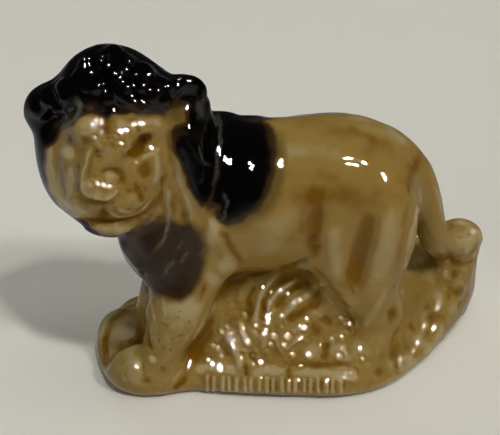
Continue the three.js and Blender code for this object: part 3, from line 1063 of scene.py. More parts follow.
@dataclass(frozen=True)
class BackOfMane(Part):
    """The locks of the mane on the sides that the photograph hides. Its places are on those sheets."""

    rows: int = 5
    columns: int = 9
    start: Pair = (-0.6, 13.4)
    pitch: Pair = (2.15, 3.3)
    front_rows: int = 4
    front_columns: int = 3
    front_start: Pair = (-4.6, 11.5)
    front_pitch: Pair = (1.9, 3.4)
    length: float = 4.4
    radius: float = 0.85
    rise: float = 0.42
    wave: float = 0.35
    swell: tuple[float, ...] = (0.6, 1.0, 0.85, 0.4)

    def press(self, clay: Clay) -> None:
        """Presses on wavy locks that fall from the crown to the shoulders.

        Args:
            clay: The clay.
        """
        for row in range(self.rows):
            for step in range(self.columns):
                across = self.start[0] + self.pitch[0] * step + 1.05 * (row % 2)
                across += 0.3 * math.sin(3.0 * row + 2.0 * step)
                top = self.start[1] - self.pitch[1] * row + 0.5 * math.cos(2.0 * step + row)
                self.hang(clay, Side.BACK, (across, top), 0.09 * (across - 12.0))
        for row in range(self.front_rows):
            for step in range(self.front_columns):
                across = self.front_start[0] + self.front_pitch[0] * step + 0.9 * (row % 2)
                top = self.front_start[1] - self.front_pitch[1] * row
                self.hang(clay, Side.FRONT, (across, top), -0.3)

    def hang(self, clay: Clay, side: Side, root: Pair, lean: float) -> None:
        """Presses on one lock.

        Args:
            clay: The clay.
            side: The side it is seen from.
            root: Its upper end on that side's sheet.
            lean: How far it drifts to the right.
        """
        across, top = root
        drop = self.length / 3
        wave = self.wave if round(across) % 2 else -self.wave
        route = [(across, top), (across + lean + wave, top - drop),
                 (across + 2 * lean - wave / 2, top - 2 * drop),
                 (across + 3 * lean + wave / 2, top - self.length)]
        if all(clay.touch(side, place) for place in route):
            clay.lock(side, route, [self.radius * share for share in self.swell], self.rise)


@dataclass(frozen=True)
class HiddenGround(Part):
    """The mound's far side, with low tufts and lumps of rock. Its places are on the back's sheet."""

    tufts: int = 10
    tuft_foot: float = -15.9
    tuft_blades: Route = ((-1.3, 2.7), (0.2, 3.6), (1.5, 2.9))
    tuft_radii: Triple = (0.5, 0.45, 0.28)
    rocks: int = 9
    stones: int = 8
    skin: Rough = Rough((0.0, 6.0, 3.0), (22.0, 6.0, 4.0), 1.4, 0.2)

    def press(self, clay: Clay) -> None:
        """Presses tufts and lumps of rock on the mound.

        Args:
            clay: The clay.
        """
        low = self.tuft_foot
        for step in range(self.tufts):
            foot = -19.5 + 3.15 * step + 0.4 * math.sin(2.1 * step)
            for k, (side, up) in enumerate(self.tuft_blades):
                height = up * (1.0 + 0.25 * math.sin(1.7 * step + k))
                route = [(foot + 0.3 * side, low), (foot + 0.7 * side, low + 0.55 * height),
                         (foot + 1.1 * side, low + height)]
                clay.lock(Side.BACK, route, self.tuft_radii, 0.5)
        for step in range(self.rocks):
            across = -20.5 + 3.6 * step + 0.8 * math.sin(4.3 * step)
            wave = math.sin(2.7 * step)
            place = (across, -10.0 - 0.06 * max(0.0, across + 4.0) ** 1.5 + 0.4 * wave)
            clay.dab(Side.BACK, place, (2.1 + 0.5 * wave, 1.1, 1.0), 0.2, lean=25 * wave, tip=0.6)
        for step in range(self.stones):
            place = (-18.0 + 3.6 * step, -11.9 - 0.3 * step + 0.6 * math.cos(2.3 * step))
            clay.dab(Side.BACK, place, (1.6, 1.1, 1.0), 0.26, lean=40 * math.sin(1.9 * step))


@dataclass(frozen=True)
class Mark:
    """What is painted from the shown side, and fades where the skin turns away from it.

    Each kind has its own `turn`, which is what is left of it where the skin is seen edge on.
    """

    def cover(self, points: np.ndarray, normals: np.ndarray) -> np.ndarray:
        """Finds how much of the mark each point takes.

        Args:
            points: The points of the skin.
            normals: The directions outwards there.

        Returns:
            A value from 0 to the mark's strength for each.
        """
        sheet = SHEETS[Side.SHOWN]
        return self.fill(sheet.flatten(points)) * sheet.faced(normals, self.turn)


@dataclass(frozen=True)
class Brush(Mark):
    """An outline of pixels that paint fills with a soft edge, as far to the back as it says."""

    outline: Route
    soft: float
    strength: float = 1.0
    farthest: float = 99.0
    turn: float = 0.5

    def cover(self, points: np.ndarray, normals: np.ndarray) -> np.ndarray:
        """How much of the mark each point takes, where it isn't too far back."""
        return super().cover(points, normals) * (points[:, 1] < self.farthest)

    def fill(self, flat: np.ndarray) -> np.ndarray:
        """Fills the outline.

        Args:
            flat: Places on the sheet.

        Returns:
            A value from 0 to the brush's strength for each.
        """
        corners = np.array(along((*self.outline, self.outline[0])))
        gap = np.full(len(flat), 1e3)
        inside = np.zeros(len(flat), bool)
        for a, b in zip(corners[:-1], corners[1:]):
            run = b - a
            share = np.clip(((flat - a) @ run) / (run @ run), 0, 1)
            gap = np.minimum(gap, np.linalg.norm(flat - a - share[:, None] * run, axis=1))
            crossing = (a[1] > flat[:, 1]) != (b[1] > flat[:, 1])
            rise = run[1] if run[1] != 0 else 1e-9
            inside ^= crossing & (flat[:, 0] < a[0] + (flat[:, 1] - a[1]) / rise * run[0])
        depth = np.where(inside, gap, -gap)
        return self.strength * np.clip(0.5 + depth / self.soft, 0, 1)


@dataclass(frozen=True)
class Blot(Mark):
    """A soft oval blot at a pixel. Its radii go across and up, its lean is in degrees."""

    place: Pair
    across: float
    up: float
    strength: float = 1.0
    lean: float = 0.0
    turn: float = 0.25

    def fill(self, flat: np.ndarray) -> np.ndarray:
        """Lays the blot.

        Args:
            flat: Places on the sheet.

        Returns:
            A value from 0 to the blot's strength for each.
        """
        offset = flat - at(self.place)
        slant = math.radians(self.lean)
        wide = (offset[:, 0] * math.cos(slant) - offset[:, 1] * math.sin(slant)) / self.across
        high = (offset[:, 0] * math.sin(slant) + offset[:, 1] * math.cos(slant)) / self.up
        return self.strength * np.exp(-(wide ** 2 + high ** 2))


@dataclass(frozen=True)
class Wash(Mark):
    """A soft stroke along some pixels."""

    route: Route
    reach: float
    strength: float = 1.0
    turn: float = 0.25

    def fill(self, flat: np.ndarray) -> np.ndarray:
        """Lays the stroke.

        Args:
            flat: Places on the sheet.

        Returns:
            A value from 0 to the stroke's strength for each.
        """
        line = np.array([point[:2] for point in flat_spline(along(self.route), 0.25)])
        low, high = line.min(0) - self.reach, line.max(0) + self.reach
        near = np.flatnonzero(((flat > low) & (flat < high)).all(1))
        covered = np.zeros(len(flat))
        if len(near):
            gaps = np.linalg.norm(flat[near, None] - line[None], axis=2)
            share = gaps.argmin(1) / max(len(line) - 1, 1)
            ends = np.clip(5 * np.minimum(share, 1 - share) + 0.2, 0, 1)
            part = np.clip(gaps.min(1) / self.reach, 0, 1)
            covered[near] = self.strength * ends * (0.5 + 0.5 * np.cos(math.pi * part))
        return covered


@dataclass(frozen=True)
class Dashes(Mark):
    """Some short strokes of one kind."""

    routes: tuple[Route, ...]
    reach: float
    strength: float
    turn: float = 0.25

    def fill(self, flat: np.ndarray) -> np.ndarray:
        """How much of the strokes each place on the sheet takes."""
        return np.max([Wash(route, self.reach, self.strength).fill(flat) for route in self.routes], axis=0)


@dataclass(frozen=True)
class Dip:
    """An egg of paint in space, with a soft edge."""

    centre: Triple
    radii: Triple
    soft: float
    strength: float = 1.0

    def cover(self, points: np.ndarray, normals: np.ndarray) -> np.ndarray:
        """Finds how much of the paint each point takes.

        Args:
            points: The points of the skin.
            normals: The directions outwards there, which a dip does not use.

        Returns:
            A value from 0 to the dip's strength for each.
        """
        reach = np.linalg.norm((points - self.centre) / self.radii, axis=1)
        return self.strength * np.clip(0.5 + (1 - reach) * min(self.radii) / self.soft, 0, 1)


Area = tuple[Mark | Dip, ...]


@dataclass(frozen=True)
class Layer:
    """A layer of the glaze, whose fields are its areas, each made of some brushes."""

    def cover(self, points: np.ndarray, normals: np.ndarray) -> np.ndarray:
        """Finds how strong the layer is at each point.

        Args:
            points: The points of the skin.
            normals: The directions outwards there.

        Returns:
            The strongest of its brushes at each.
        """
        brushes = [brush for area in fields(self) for brush in getattr(self, area.name)]
        return np.max([brush.cover(points, normals) for brush in brushes], axis=0)


@dataclass(frozen=True)
class Pooled(Layer):
    """Where the glaze pools and darkens."""

    flank: Area = (
        Blot((318, 196), 1.4, 1.2, 0.85),
        Wash(((316, 190), (312, 215), (308, 240), (306, 256)), 2.6, 0.4),
        Wash(((376, 205), (372, 235), (362, 265), (350, 296)), 2.6, 0.3),
        Wash(((290, 122), (330, 128), (370, 135), (402, 158)), 1.6, 0.35),
        Wash(((282, 172), (320, 178), (350, 180)), 1.4, 0.3),
        Wash(((270, 236), (290, 240), (306, 232)), 1.2, 0.3),
        Blot((345, 197), 4.6, 1.6, 0.6, lean=3),
        Blot((372, 146), 2.6, 0.9, 0.5, lean=110),
        Blot((414, 168), 0.5, 1.8, 0.9, lean=15),
        Wash(((318, 196), (316, 222), (315, 240), (315, 260)), 0.8, 0.95),
        Wash(((371, 212), (365, 234), (357, 256), (350, 280)), 0.85, 0.7),
        Wash(((300, 258), (320, 272), (336, 292), (350, 312)), 0.6, 0.55),
        Wash(((338, 245), (348, 275), (354, 300)), 0.5, 0.5),
        Wash(((238, 273), (262, 275), (290, 267), (308, 258)), 0.6, 0.7),
    )
    elbow: Area = (
        Wash(((222, 228), (230, 246), (243, 264)), 0.8, 0.95),
        Wash(((228, 242), (236, 256)), 0.5, 0.8),
    )
    eyes: Area = (
        Blot((146, 171), 0.62, 0.85, 1.0),
        Wash(((134, 155), (137, 144), (144, 137), (152, 135)), 0.6, 0.8),
        Wash(((140, 152), (144, 144)), 0.5, 0.5),
        Blot((106, 124), 0.6, 1.1, 0.9),
        Wash(((105, 135), (110, 142), (118, 148)), 0.5, 0.5),
        Wash(((128, 117), (136, 124), (140, 133)), 0.5, 0.8),
        Blot((85, 140), 0.5, 0.6, 0.8),
    )
    nose: Area = (
        Wash(((94, 152), (90, 162), (88, 174), (88, 184)), 0.45, 0.6),
        Wash(((99, 176), (103, 170), (110, 168), (118, 171), (121, 178), (117, 187)), 0.42, 1.0),
        Wash(((84, 184), (89, 178), (96, 176)), 0.3, 0.6),
    )
    mouth: Area = (
        Wash(((88, 221), (102, 222), (122, 221), (138, 216), (151, 206)), 0.45, 1.0),
        Blot((104, 215), 0.9, 0.6, 0.95),
        Wash(((110, 202), (116, 205), (112, 210)), 0.4, 0.7),
        Blot((99, 201), 0.7, 0.3, 0.7),
        Wash(((134, 180), (138, 192), (142, 202)), 0.55, 0.6),
        Wash(((124, 209), (134, 211), (139, 208)), 0.25, 0.5),
    )
    cheek: Area = (
        Wash(((162, 176), (162, 190), (158, 203)), 0.3, 0.8),
        Blot((173, 205), 0.6, 1.6, 0.6),
        Blot((185, 215), 0.6, 0.8, 0.7),
        Blot((128, 188), 0.7, 0.7, 0.4),
    )
    far_paw: Area = (
        Wash(((139, 302), (120, 314), (109, 328), (104, 345), (107, 362)), 0.5, 1.0),
        Wash(((119, 348), (131, 341), (145, 343)), 0.45, 0.9),
        Wash(((146, 318), (147, 338), (152, 348)), 0.6, 0.9),
    )
    near_paw: Area = (
        Blot((146, 381), 0.8, 0.55, 0.8, lean=20),
        Blot((131, 386), 1.0, 0.5, 0.5),
        Blot((163, 369), 0.5, 0.5, 0.5),
        Wash(((200, 300), (204, 290), (207, 280)), 0.5, 0.7),
        Wash(((187, 368), (183, 380), (172, 389)), 0.5, 0.8),
        Wash(((196, 350), (190, 362)), 0.5, 0.5),
        Wash(((213, 310), (203, 326), (196, 340)), 0.3, 0.4),
    )
    hock: Area = (
        Blot((391, 315), 0.55, 0.95, 0.9, lean=20),
        Blot((381, 230), 0.8, 1.5, 0.4, lean=5),
        Wash(((408, 200), (402, 235), (397, 262), (395, 290)), 0.4, 0.5),
        Wash(((407, 160), (411, 176), (409, 196)), 0.35, 0.7),
    )
    tail: Area = (
        Wash(((445, 252), (452, 262), (466, 265)), 0.45, 1.0),
        Wash(((418, 196), (426, 226), (436, 248)), 0.4, 0.5),
    )
    ground: Area = (
        Blot((421, 289), 0.9, 0.8, 1.2),
        Blot((424, 267), 0.9, 0.45, 1.1),
        Blot((455, 290), 1.5, 0.8, 1.1, lean=20),
        Blot((432, 318), 1.0, 0.8, 1.1),
        Blot((447, 257), 1.4, 0.5, 1.1, lean=-10),
    )
    grass: Area = (
        Wash(((245, 330), (250, 312), (250, 296), (254, 284)), 0.6, 0.7),
        Wash(((262, 316), (266, 300), (276, 286), (292, 274)), 0.5, 0.55),
        Wash(((276, 306), (288, 294), (306, 283)), 0.55, 0.6),
        Wash(((284, 322), (302, 310), (322, 300)), 0.75, 0.65),
        Wash(((300, 272), (312, 276), (322, 284)), 0.4, 0.5),
        Blot((316, 331), 0.9, 0.9, 0.8),
        Blot((286, 342), 1.2, 0.8, 0.5),
        Blot((272, 354), 0.8, 0.7, 0.5),
        Blot((227, 324), 1.1, 0.9, 0.8, lean=-30),
    )
    ledge: Area = (
        Wash(((295, 364), (318, 366), (342, 364), (352, 366)), 0.45, 0.6),
        Wash(((289, 368), (290, 378)), 0.3, 0.8),
        Wash(((244, 364), (246, 376)), 0.5, 0.7),
        Wash(((348, 312), (352, 326), (358, 336)), 0.5, 0.9),
        Wash(((200, 376), (205, 384)), 0.4, 0.6),
        Wash(((207, 392), (250, 395), (300, 397), (345, 396)), 0.3, 0.5),
    )


@dataclass(frozen=True)
class PaleGlazeAndPaintedLight(Layer):
    """Where the glaze has run off and pales, and, where marked, pale paint as painted light in shade."""

    brows: Area = (
        Blot((89, 123), 0.9, 1.0, 0.6),
        Blot((121, 126), 0.9, 1.3, 0.6, lean=-8),
        Wash(((136, 122), (148, 121), (160, 125)), 0.8, 0.7),
        Blot((134, 124), 1.2, 0.7, 0.5),
    )
    far_cheek: Area = (
        Wash(((93, 148), (88, 151), (86, 162), (82, 175), (81, 188), (86, 197)), 0.34, 1.0),
        Wash(((72, 163), (70, 185), (68, 200), (73, 213), (82, 219)), 0.6, 1.3),
        Wash(((49, 144), (50, 165), (53, 185), (58, 202)), 0.6, 1.5),
        Blot((66, 178), 1.3, 2.6, 0.7, lean=5),
        Blot((67, 153), 0.75, 0.75, 1.0, lean=-20),
        Blot((80, 180), 3.0, 3.5, 0.35),
        Wash(((51, 148), (52, 170), (56, 190), (64, 206)), 0.5, 0.9),
        Wash(((86, 150), (88, 170), (84, 190), (90, 206)), 0.6, 0.5),
        Blot((60, 178), 1.1, 2.8, 0.8, lean=5),
    )
    muzzle: Area = (
        Wash(((142, 158), (150, 156), (159, 146)), 0.45, 1.0),
        Blot((110, 179), 0.7, 0.5, 0.6),
        Wash(((120, 190), (114, 196), (104, 200)), 0.3, 0.9),
        Wash(((104, 208), (112, 214), (126, 217), (140, 213), (149, 204), (153, 192)), 0.3, 0.9),
        Wash(((118, 208), (127, 212), (137, 210)), 0.25, 0.6),
        Blot((129, 198), 0.9, 0.6, 0.6),
        Wash(((72, 198), (78, 210), (92, 216)), 0.6, 0.6),
        Blot((115, 230), 1.6, 0.6, 0.9),
        Wash(((155, 150), (158, 168), (156, 184)), 0.6, 0.6),
        Blot((108, 152), 0.9, 0.6, 0.35),
        Blot((103, 186), 1.5, 0.9, 0.45),
    )
    throat: Area = (
        Wash(((168, 190), (168, 212), (166, 232)), 0.3, 0.9),
        Wash(((162, 200), (158, 214), (150, 222)), 0.4, 0.6),
        Blot((214, 230), 0.8, 1.5, 1.0, lean=15),
        Blot((226, 264), 1.1, 1.0, 0.8, lean=-20),
        Blot((212, 280), 0.9, 1.2, 0.7, lean=-30),
    )
    far_paw: Area = (
        Blot((129, 326), 0.9, 1.0, 1.0),
        Wash(((146, 297), (128, 304), (112, 313), (104, 325), (101, 344), (102, 360)), 0.28, 1.0),
        Wash(((150, 282), (151, 300), (155, 322)), 0.28, 0.9),
        Wash(((158, 288), (164, 304), (167, 318)), 0.28, 0.8),
        Blot((110, 352), 0.5, 0.8, 0.7),
        # painted light: these two broad blots lighten the far paw, which the lamps leave in shade
        Blot((128, 330), 1.7, 1.5, 1.3),
        Blot((122, 345), 1.6, 1.2, 0.7),
    )
    near_leg: Area = (
        Blot((136, 362), 1.0, 0.8, 0.6),
        Blot((172, 335), 1.6, 3.2, 0.45, lean=20),
        Blot((186, 306), 2.0, 1.5, 0.8),
        Blot((135, 375), 2.0, 1.3, 0.45),
        Wash(((222, 296), (200, 330), (186, 360), (172, 385)), 0.4, 0.7),
    )
    bank: Area = (
        # painted light: the next two blots lighten the bank's two ends, which the lamps leave dim
        Blot((342, 348), 2.6, 2.2, 0.7),
        Blot((216, 334), 1.9, 2.2, 0.4),
        Blot((240, 345), 3.0, 2.0, 0.45),
        Blot((300, 345), 2.6, 1.6, 0.4),
        Blot((235, 300), 1.6, 1.8, 0.3),
        Blot((322, 312), 1.4, 1.0, 0.4, lean=30),
    )
    back: Area = (
        Wash(((280, 150), (310, 150), (345, 158)), 1.6, 0.4),
        Wash(((255, 232), (275, 222), (296, 212)), 1.8, 0.35),
        Wash(((345, 116), (380, 124), (410, 148)), 0.9, 0.5),
        Blot((334, 228), 1.2, 2.2, 0.35),
        Wash(((357, 126), (380, 131), (400, 141)), 0.8, 0.5),
    )
    ledge: Area = (
        Wash(((196, 369), (215, 368), (236, 370)), 0.7, 1.2),
        Wash(((251, 373), (270, 371), (288, 371)), 0.7, 1.1),
        Wash(((292, 372), (316, 373), (345, 376), (358, 376)), 0.7, 1.1),
    )
    blades: Area = (
        Wash(((255, 326), (258, 302), (265, 288), (280, 273)), 0.34, 1.0),
        Wash(((266, 318), (271, 302), (281, 290), (298, 277)), 0.34, 1.0),
        Wash(((279, 319), (294, 304), (306, 296), (322, 284)), 0.5, 1.0),
        Wash(((240, 320), (243, 334), (250, 345)), 0.34, 0.9),
        Wash(((286, 349), (295, 341), (304, 337)), 0.34, 0.9),
        Wash(((226, 334), (235, 349), (241, 368)), 0.5, 0.9),
        Blot((311, 351), 0.9, 0.7, 0.7),
        Blot((334, 345), 1.0, 1.2, 0.6, lean=30),
        Blot((306, 264), 1.0, 0.5, 0.8),
        Wash(((322, 290), (334, 305), (342, 318)), 0.5, 0.6),
    )
    leg_seam: Area = (
        Wash(((414, 176), (420, 194), (417, 215), (409, 242), (405, 272), (402, 292), (406, 312)), 0.3, 0.9),
    )
    tail: Area = (
        Wash(((430, 170), (440, 200), (446, 226)), 0.6, 0.5),
        Blot((470, 238), 1.0, 1.2, 0.7, lean=20),
        Wash(((452, 222), (468, 224), (480, 236)), 0.4, 0.7),
    )
    ground: Area = (
        Blot((374, 338), 0.8, 0.8, 0.4),
        Wash(((395, 372), (422, 356), (444, 330)), 0.6, 0.5),
        # painted light: this stroke lightens the ground in shadow between the rump and the tail
        Wash(((412, 258), (424, 268), (442, 270)), 1.4, 0.9),
        Blot((432, 288), 4.0, 3.2, 0.5),
    )


@dataclass(frozen=True)
class Olive(Layer):
    """The olive fringes where the dark paint runs out."""

    mane_edge: Area = (
        Wash(((277, 130), (281, 160), (277, 185), (268, 205), (252, 217), (236, 226)), 1.0, 0.75),
        Blot((240, 226), 1.2, 0.6, 0.4, lean=-20),
    )
    ear: Area = (
        Wash(((166, 116), (176, 112), (186, 110)), 0.9, 0.6),
        Blot((176, 114), 1.3, 1.0, 0.85),
        Blot((183, 116), 0.8, 0.7, 0.6),
    )
    cheek: Area = (
        Wash(((158, 150), (162, 168), (161, 184)), 0.6, 0.25),
        Wash(((172, 135), (171, 155), (176, 178)), 0.5, 0.5),
    )


@dataclass(frozen=True)
class PaintedReflection(Layer):
    """Painted reflection: grey light on the hair's ridges, the far ear's rim, the far cheek and a few edges.
    """

    ear: Area = (
        Wash(((202, 117), (200, 106), (195, 104)), 0.7, 0.22),
        Wash(((196, 112), (205, 98)), 0.4, 0.15),
    )
    side_locks: Area = (
        Wash(((175, 160), (182, 184), (192, 204), (191, 218)), 0.45, 0.45),
        Wash(((186, 206), (192, 214), (200, 208)), 0.5, 0.45),
        Wash(((217, 108), (221, 132), (217, 160), (213, 186)), 0.25, 0.28),
        Wash(((224, 192), (227, 206), (222, 220)), 0.25, 0.35),
        Wash(((198, 145), (204, 160), (210, 166)), 0.2, 0.2),
    )
    cheek: Area = (Wash(((162, 132), (166, 145)), 0.4, 0.4),)
    beard: Area = (
        Wash(((168, 190), (169, 212), (166, 234), (157, 248)), 0.3, 0.4),
        Wash(((174, 259), (164, 275)), 0.3, 0.35),
        Wash(((188, 252), (180, 262)), 0.28, 0.3),
        Wash(((182, 240), (176, 250)), 0.25, 0.25),
        Wash(((205, 246), (199, 256)), 0.25, 0.2),
        Blot((124, 252), 1.6, 1.8, 0.3, lean=40),
    )
    far_crown: Area = (
        Wash(((73, 97), (79, 105), (77, 116), (69, 123), (56, 130)), 0.45, 0.5),
        Wash(((66, 112), (73, 107)), 0.3, 0.5),
        Blot((68, 130), 0.9, 0.6, 0.5, lean=20),
        Blot((69, 140), 1.0, 0.55, 0.55),
    )
    far_cheek: Area = (
        Wash(((77, 160), (77, 176), (77, 194)), 0.3, 0.5),
        Wash(((59, 150), (61, 172), (65, 192), (72, 208)), 0.8, 0.42),
        Wash(((76, 158), (76, 176), (77, 194)), 0.5, 0.45),
        Wash(((45, 146), (46, 170), (51, 196), (62, 211), (84, 226)), 0.3, 0.5),
    )
    chin: Area = (Wash(((143, 225), (152, 219), (160, 206)), 0.4, 0.3),)
    belly: Area = (Wash(((300, 262), (310, 268)), 0.7, 0.3),)
    forelegs: Area = (
        Wash(((147, 282), (145, 300)), 0.3, 0.25),
        Wash(((156, 290), (161, 310)), 0.3, 0.3),
    )


DASHES: tuple[Route, ...] = (
    ((160, 322), (166, 325), (169, 325)), ((176, 317), (181, 318)), ((188, 323), (191, 320)),
    ((178, 336), (183, 334)), ((170, 340), (174, 339)), ((157, 338), (160, 343)),
    ((163, 346), (165, 349)), ((169, 349), (172, 351)), ((160, 367), (165, 369)),
    ((178, 311), (182, 312)), ((205, 319), (206, 322)), ((190, 343), (194, 341)),
    ((381, 255), (380, 259)), ((380, 264), (381, 267)), ((394, 284), (395, 287)),
    ((396, 343), (398, 346)), ((395, 357), (397, 359)), ((412, 318), (414, 319)),
    ((231, 262), (234, 259)),
)


@dataclass(frozen=True)
class DarkMarks(Layer):
    """The small dark flecks in the glaze, and two dark marks of painted shade in creases of the flank."""

    eyes: Area = (
        Blot((144, 139), 0.38, 0.34, 1.0, lean=30),
        Blot((149, 137), 0.35, 0.2, 0.6),
        Blot((97, 151.5), 0.26, 0.16, 0.8),
        Blot((99, 156), 0.3, 0.14, 0.6),
    )
    nose: Area = (
        Wash(((102, 171), (110, 169), (118, 172)), 0.3, 0.45),
        Wash(((118, 181), (118, 186)), 0.25, 0.5),
    )
    mouth: Area = (
        Blot((103, 214), 0.7, 0.4, 0.4),
        Wash(((141, 214), (147, 210), (151, 206)), 0.2, 0.6),
    )
    # painted shade: dark marks in the flank's crevice and where the thigh meets the bank
    flank: Area = (
        Wash(((314, 232), (315, 250)), 0.5, 0.5),
        Wash(((350, 316), (354, 324)), 0.4, 0.6),
    )
    cheek: Area = (Wash(((170, 128), (168, 140), (172, 150)), 0.5, 0.5),)
    dashes: Area = (Dashes(DASHES, 0.17, 0.75),)


@dataclass(frozen=True)
class Mottled(Layer):
    """Where the glaze is mottled most."""

    face: Area = (Dip((-14.5, -9.0, 22.0), (6.5, 5.0, 7.5), 1.0),)
    bank: Area = (Dip((3.0, -8.0, 5.0), (10.0, 5.0, 6.0), 1.0, 0.8),)
    ground: Area = (Dip((18.0, 2.0, 4.0), (7.0, 9.0, 6.0), 1.0, 0.9),)
    forelegs: Area = (Dip((-11.0, -6.0, 4.0), (6.0, 6.0, 7.0), 1.0, 0.6),)


CROWN: Route = (
    (5, 118), (10, 80), (60, 40), (112, 20), (170, 40), (215, 60), (240, 100), (226, 135), (222, 165),
    (216, 188), (209, 201), (201, 206), (193, 196), (186, 180), (180, 162), (173, 146), (170, 131),
    (177, 125), (186, 121), (187, 114), (182, 109), (176, 109), (171, 114), (163, 117), (146, 115),
    (130, 112), (117, 115), (108, 118), (98, 116), (91, 112), (82, 114), (77, 122), (71, 128), (62, 132),
    (52, 137), (44, 146), (36, 150),
)
SHOULDER: Route = (
    (206, 100), (224, 104), (246, 116), (263, 120), (271, 131), (274, 150), (273, 170), (267, 195),
    (256, 210), (240, 219), (226, 224), (214, 216), (207, 203), (214, 175), (219, 140),
)
CHEST: Route = (
    (92, 236), (106, 250), (122, 264), (144, 284), (158, 293), (170, 298), (182, 298), (192, 292),
    (199, 279), (203, 262), (205, 247), (200, 233), (190, 226), (176, 224), (160, 222), (149, 223),
    (134, 233.5), (119, 238), (104, 237),
)
FACE: Route = (
    (58, 139), (66, 131), (73, 127), (79, 120), (86, 116), (93, 115), (100, 118), (108, 120), (117, 117),
    (128, 114), (140, 116), (152, 115), (162, 116), (170, 124), (170, 134), (168, 150), (171, 168),
    (179, 186), (190, 205), (201, 216), (213, 221), (225, 224), (238, 262), (230, 290), (203, 302),
    (206, 262), (198, 232), (182, 222), (166, 221), (148, 222), (134, 233), (119, 237), (102, 237),
    (84, 226), (64, 213), (50, 196), (45, 176), (44, 150),
)
RIM: Route = (
    (34, 140), (42, 145), (43, 172), (50, 195), (60, 207), (71, 215), (86, 223), (101, 235), (96, 242),
    (60, 224), (36, 196),
)


class Coat(Enum):
    """What a brush does to the dark paint."""

    LAID = "laid on"
    WIPED = "wiped off"


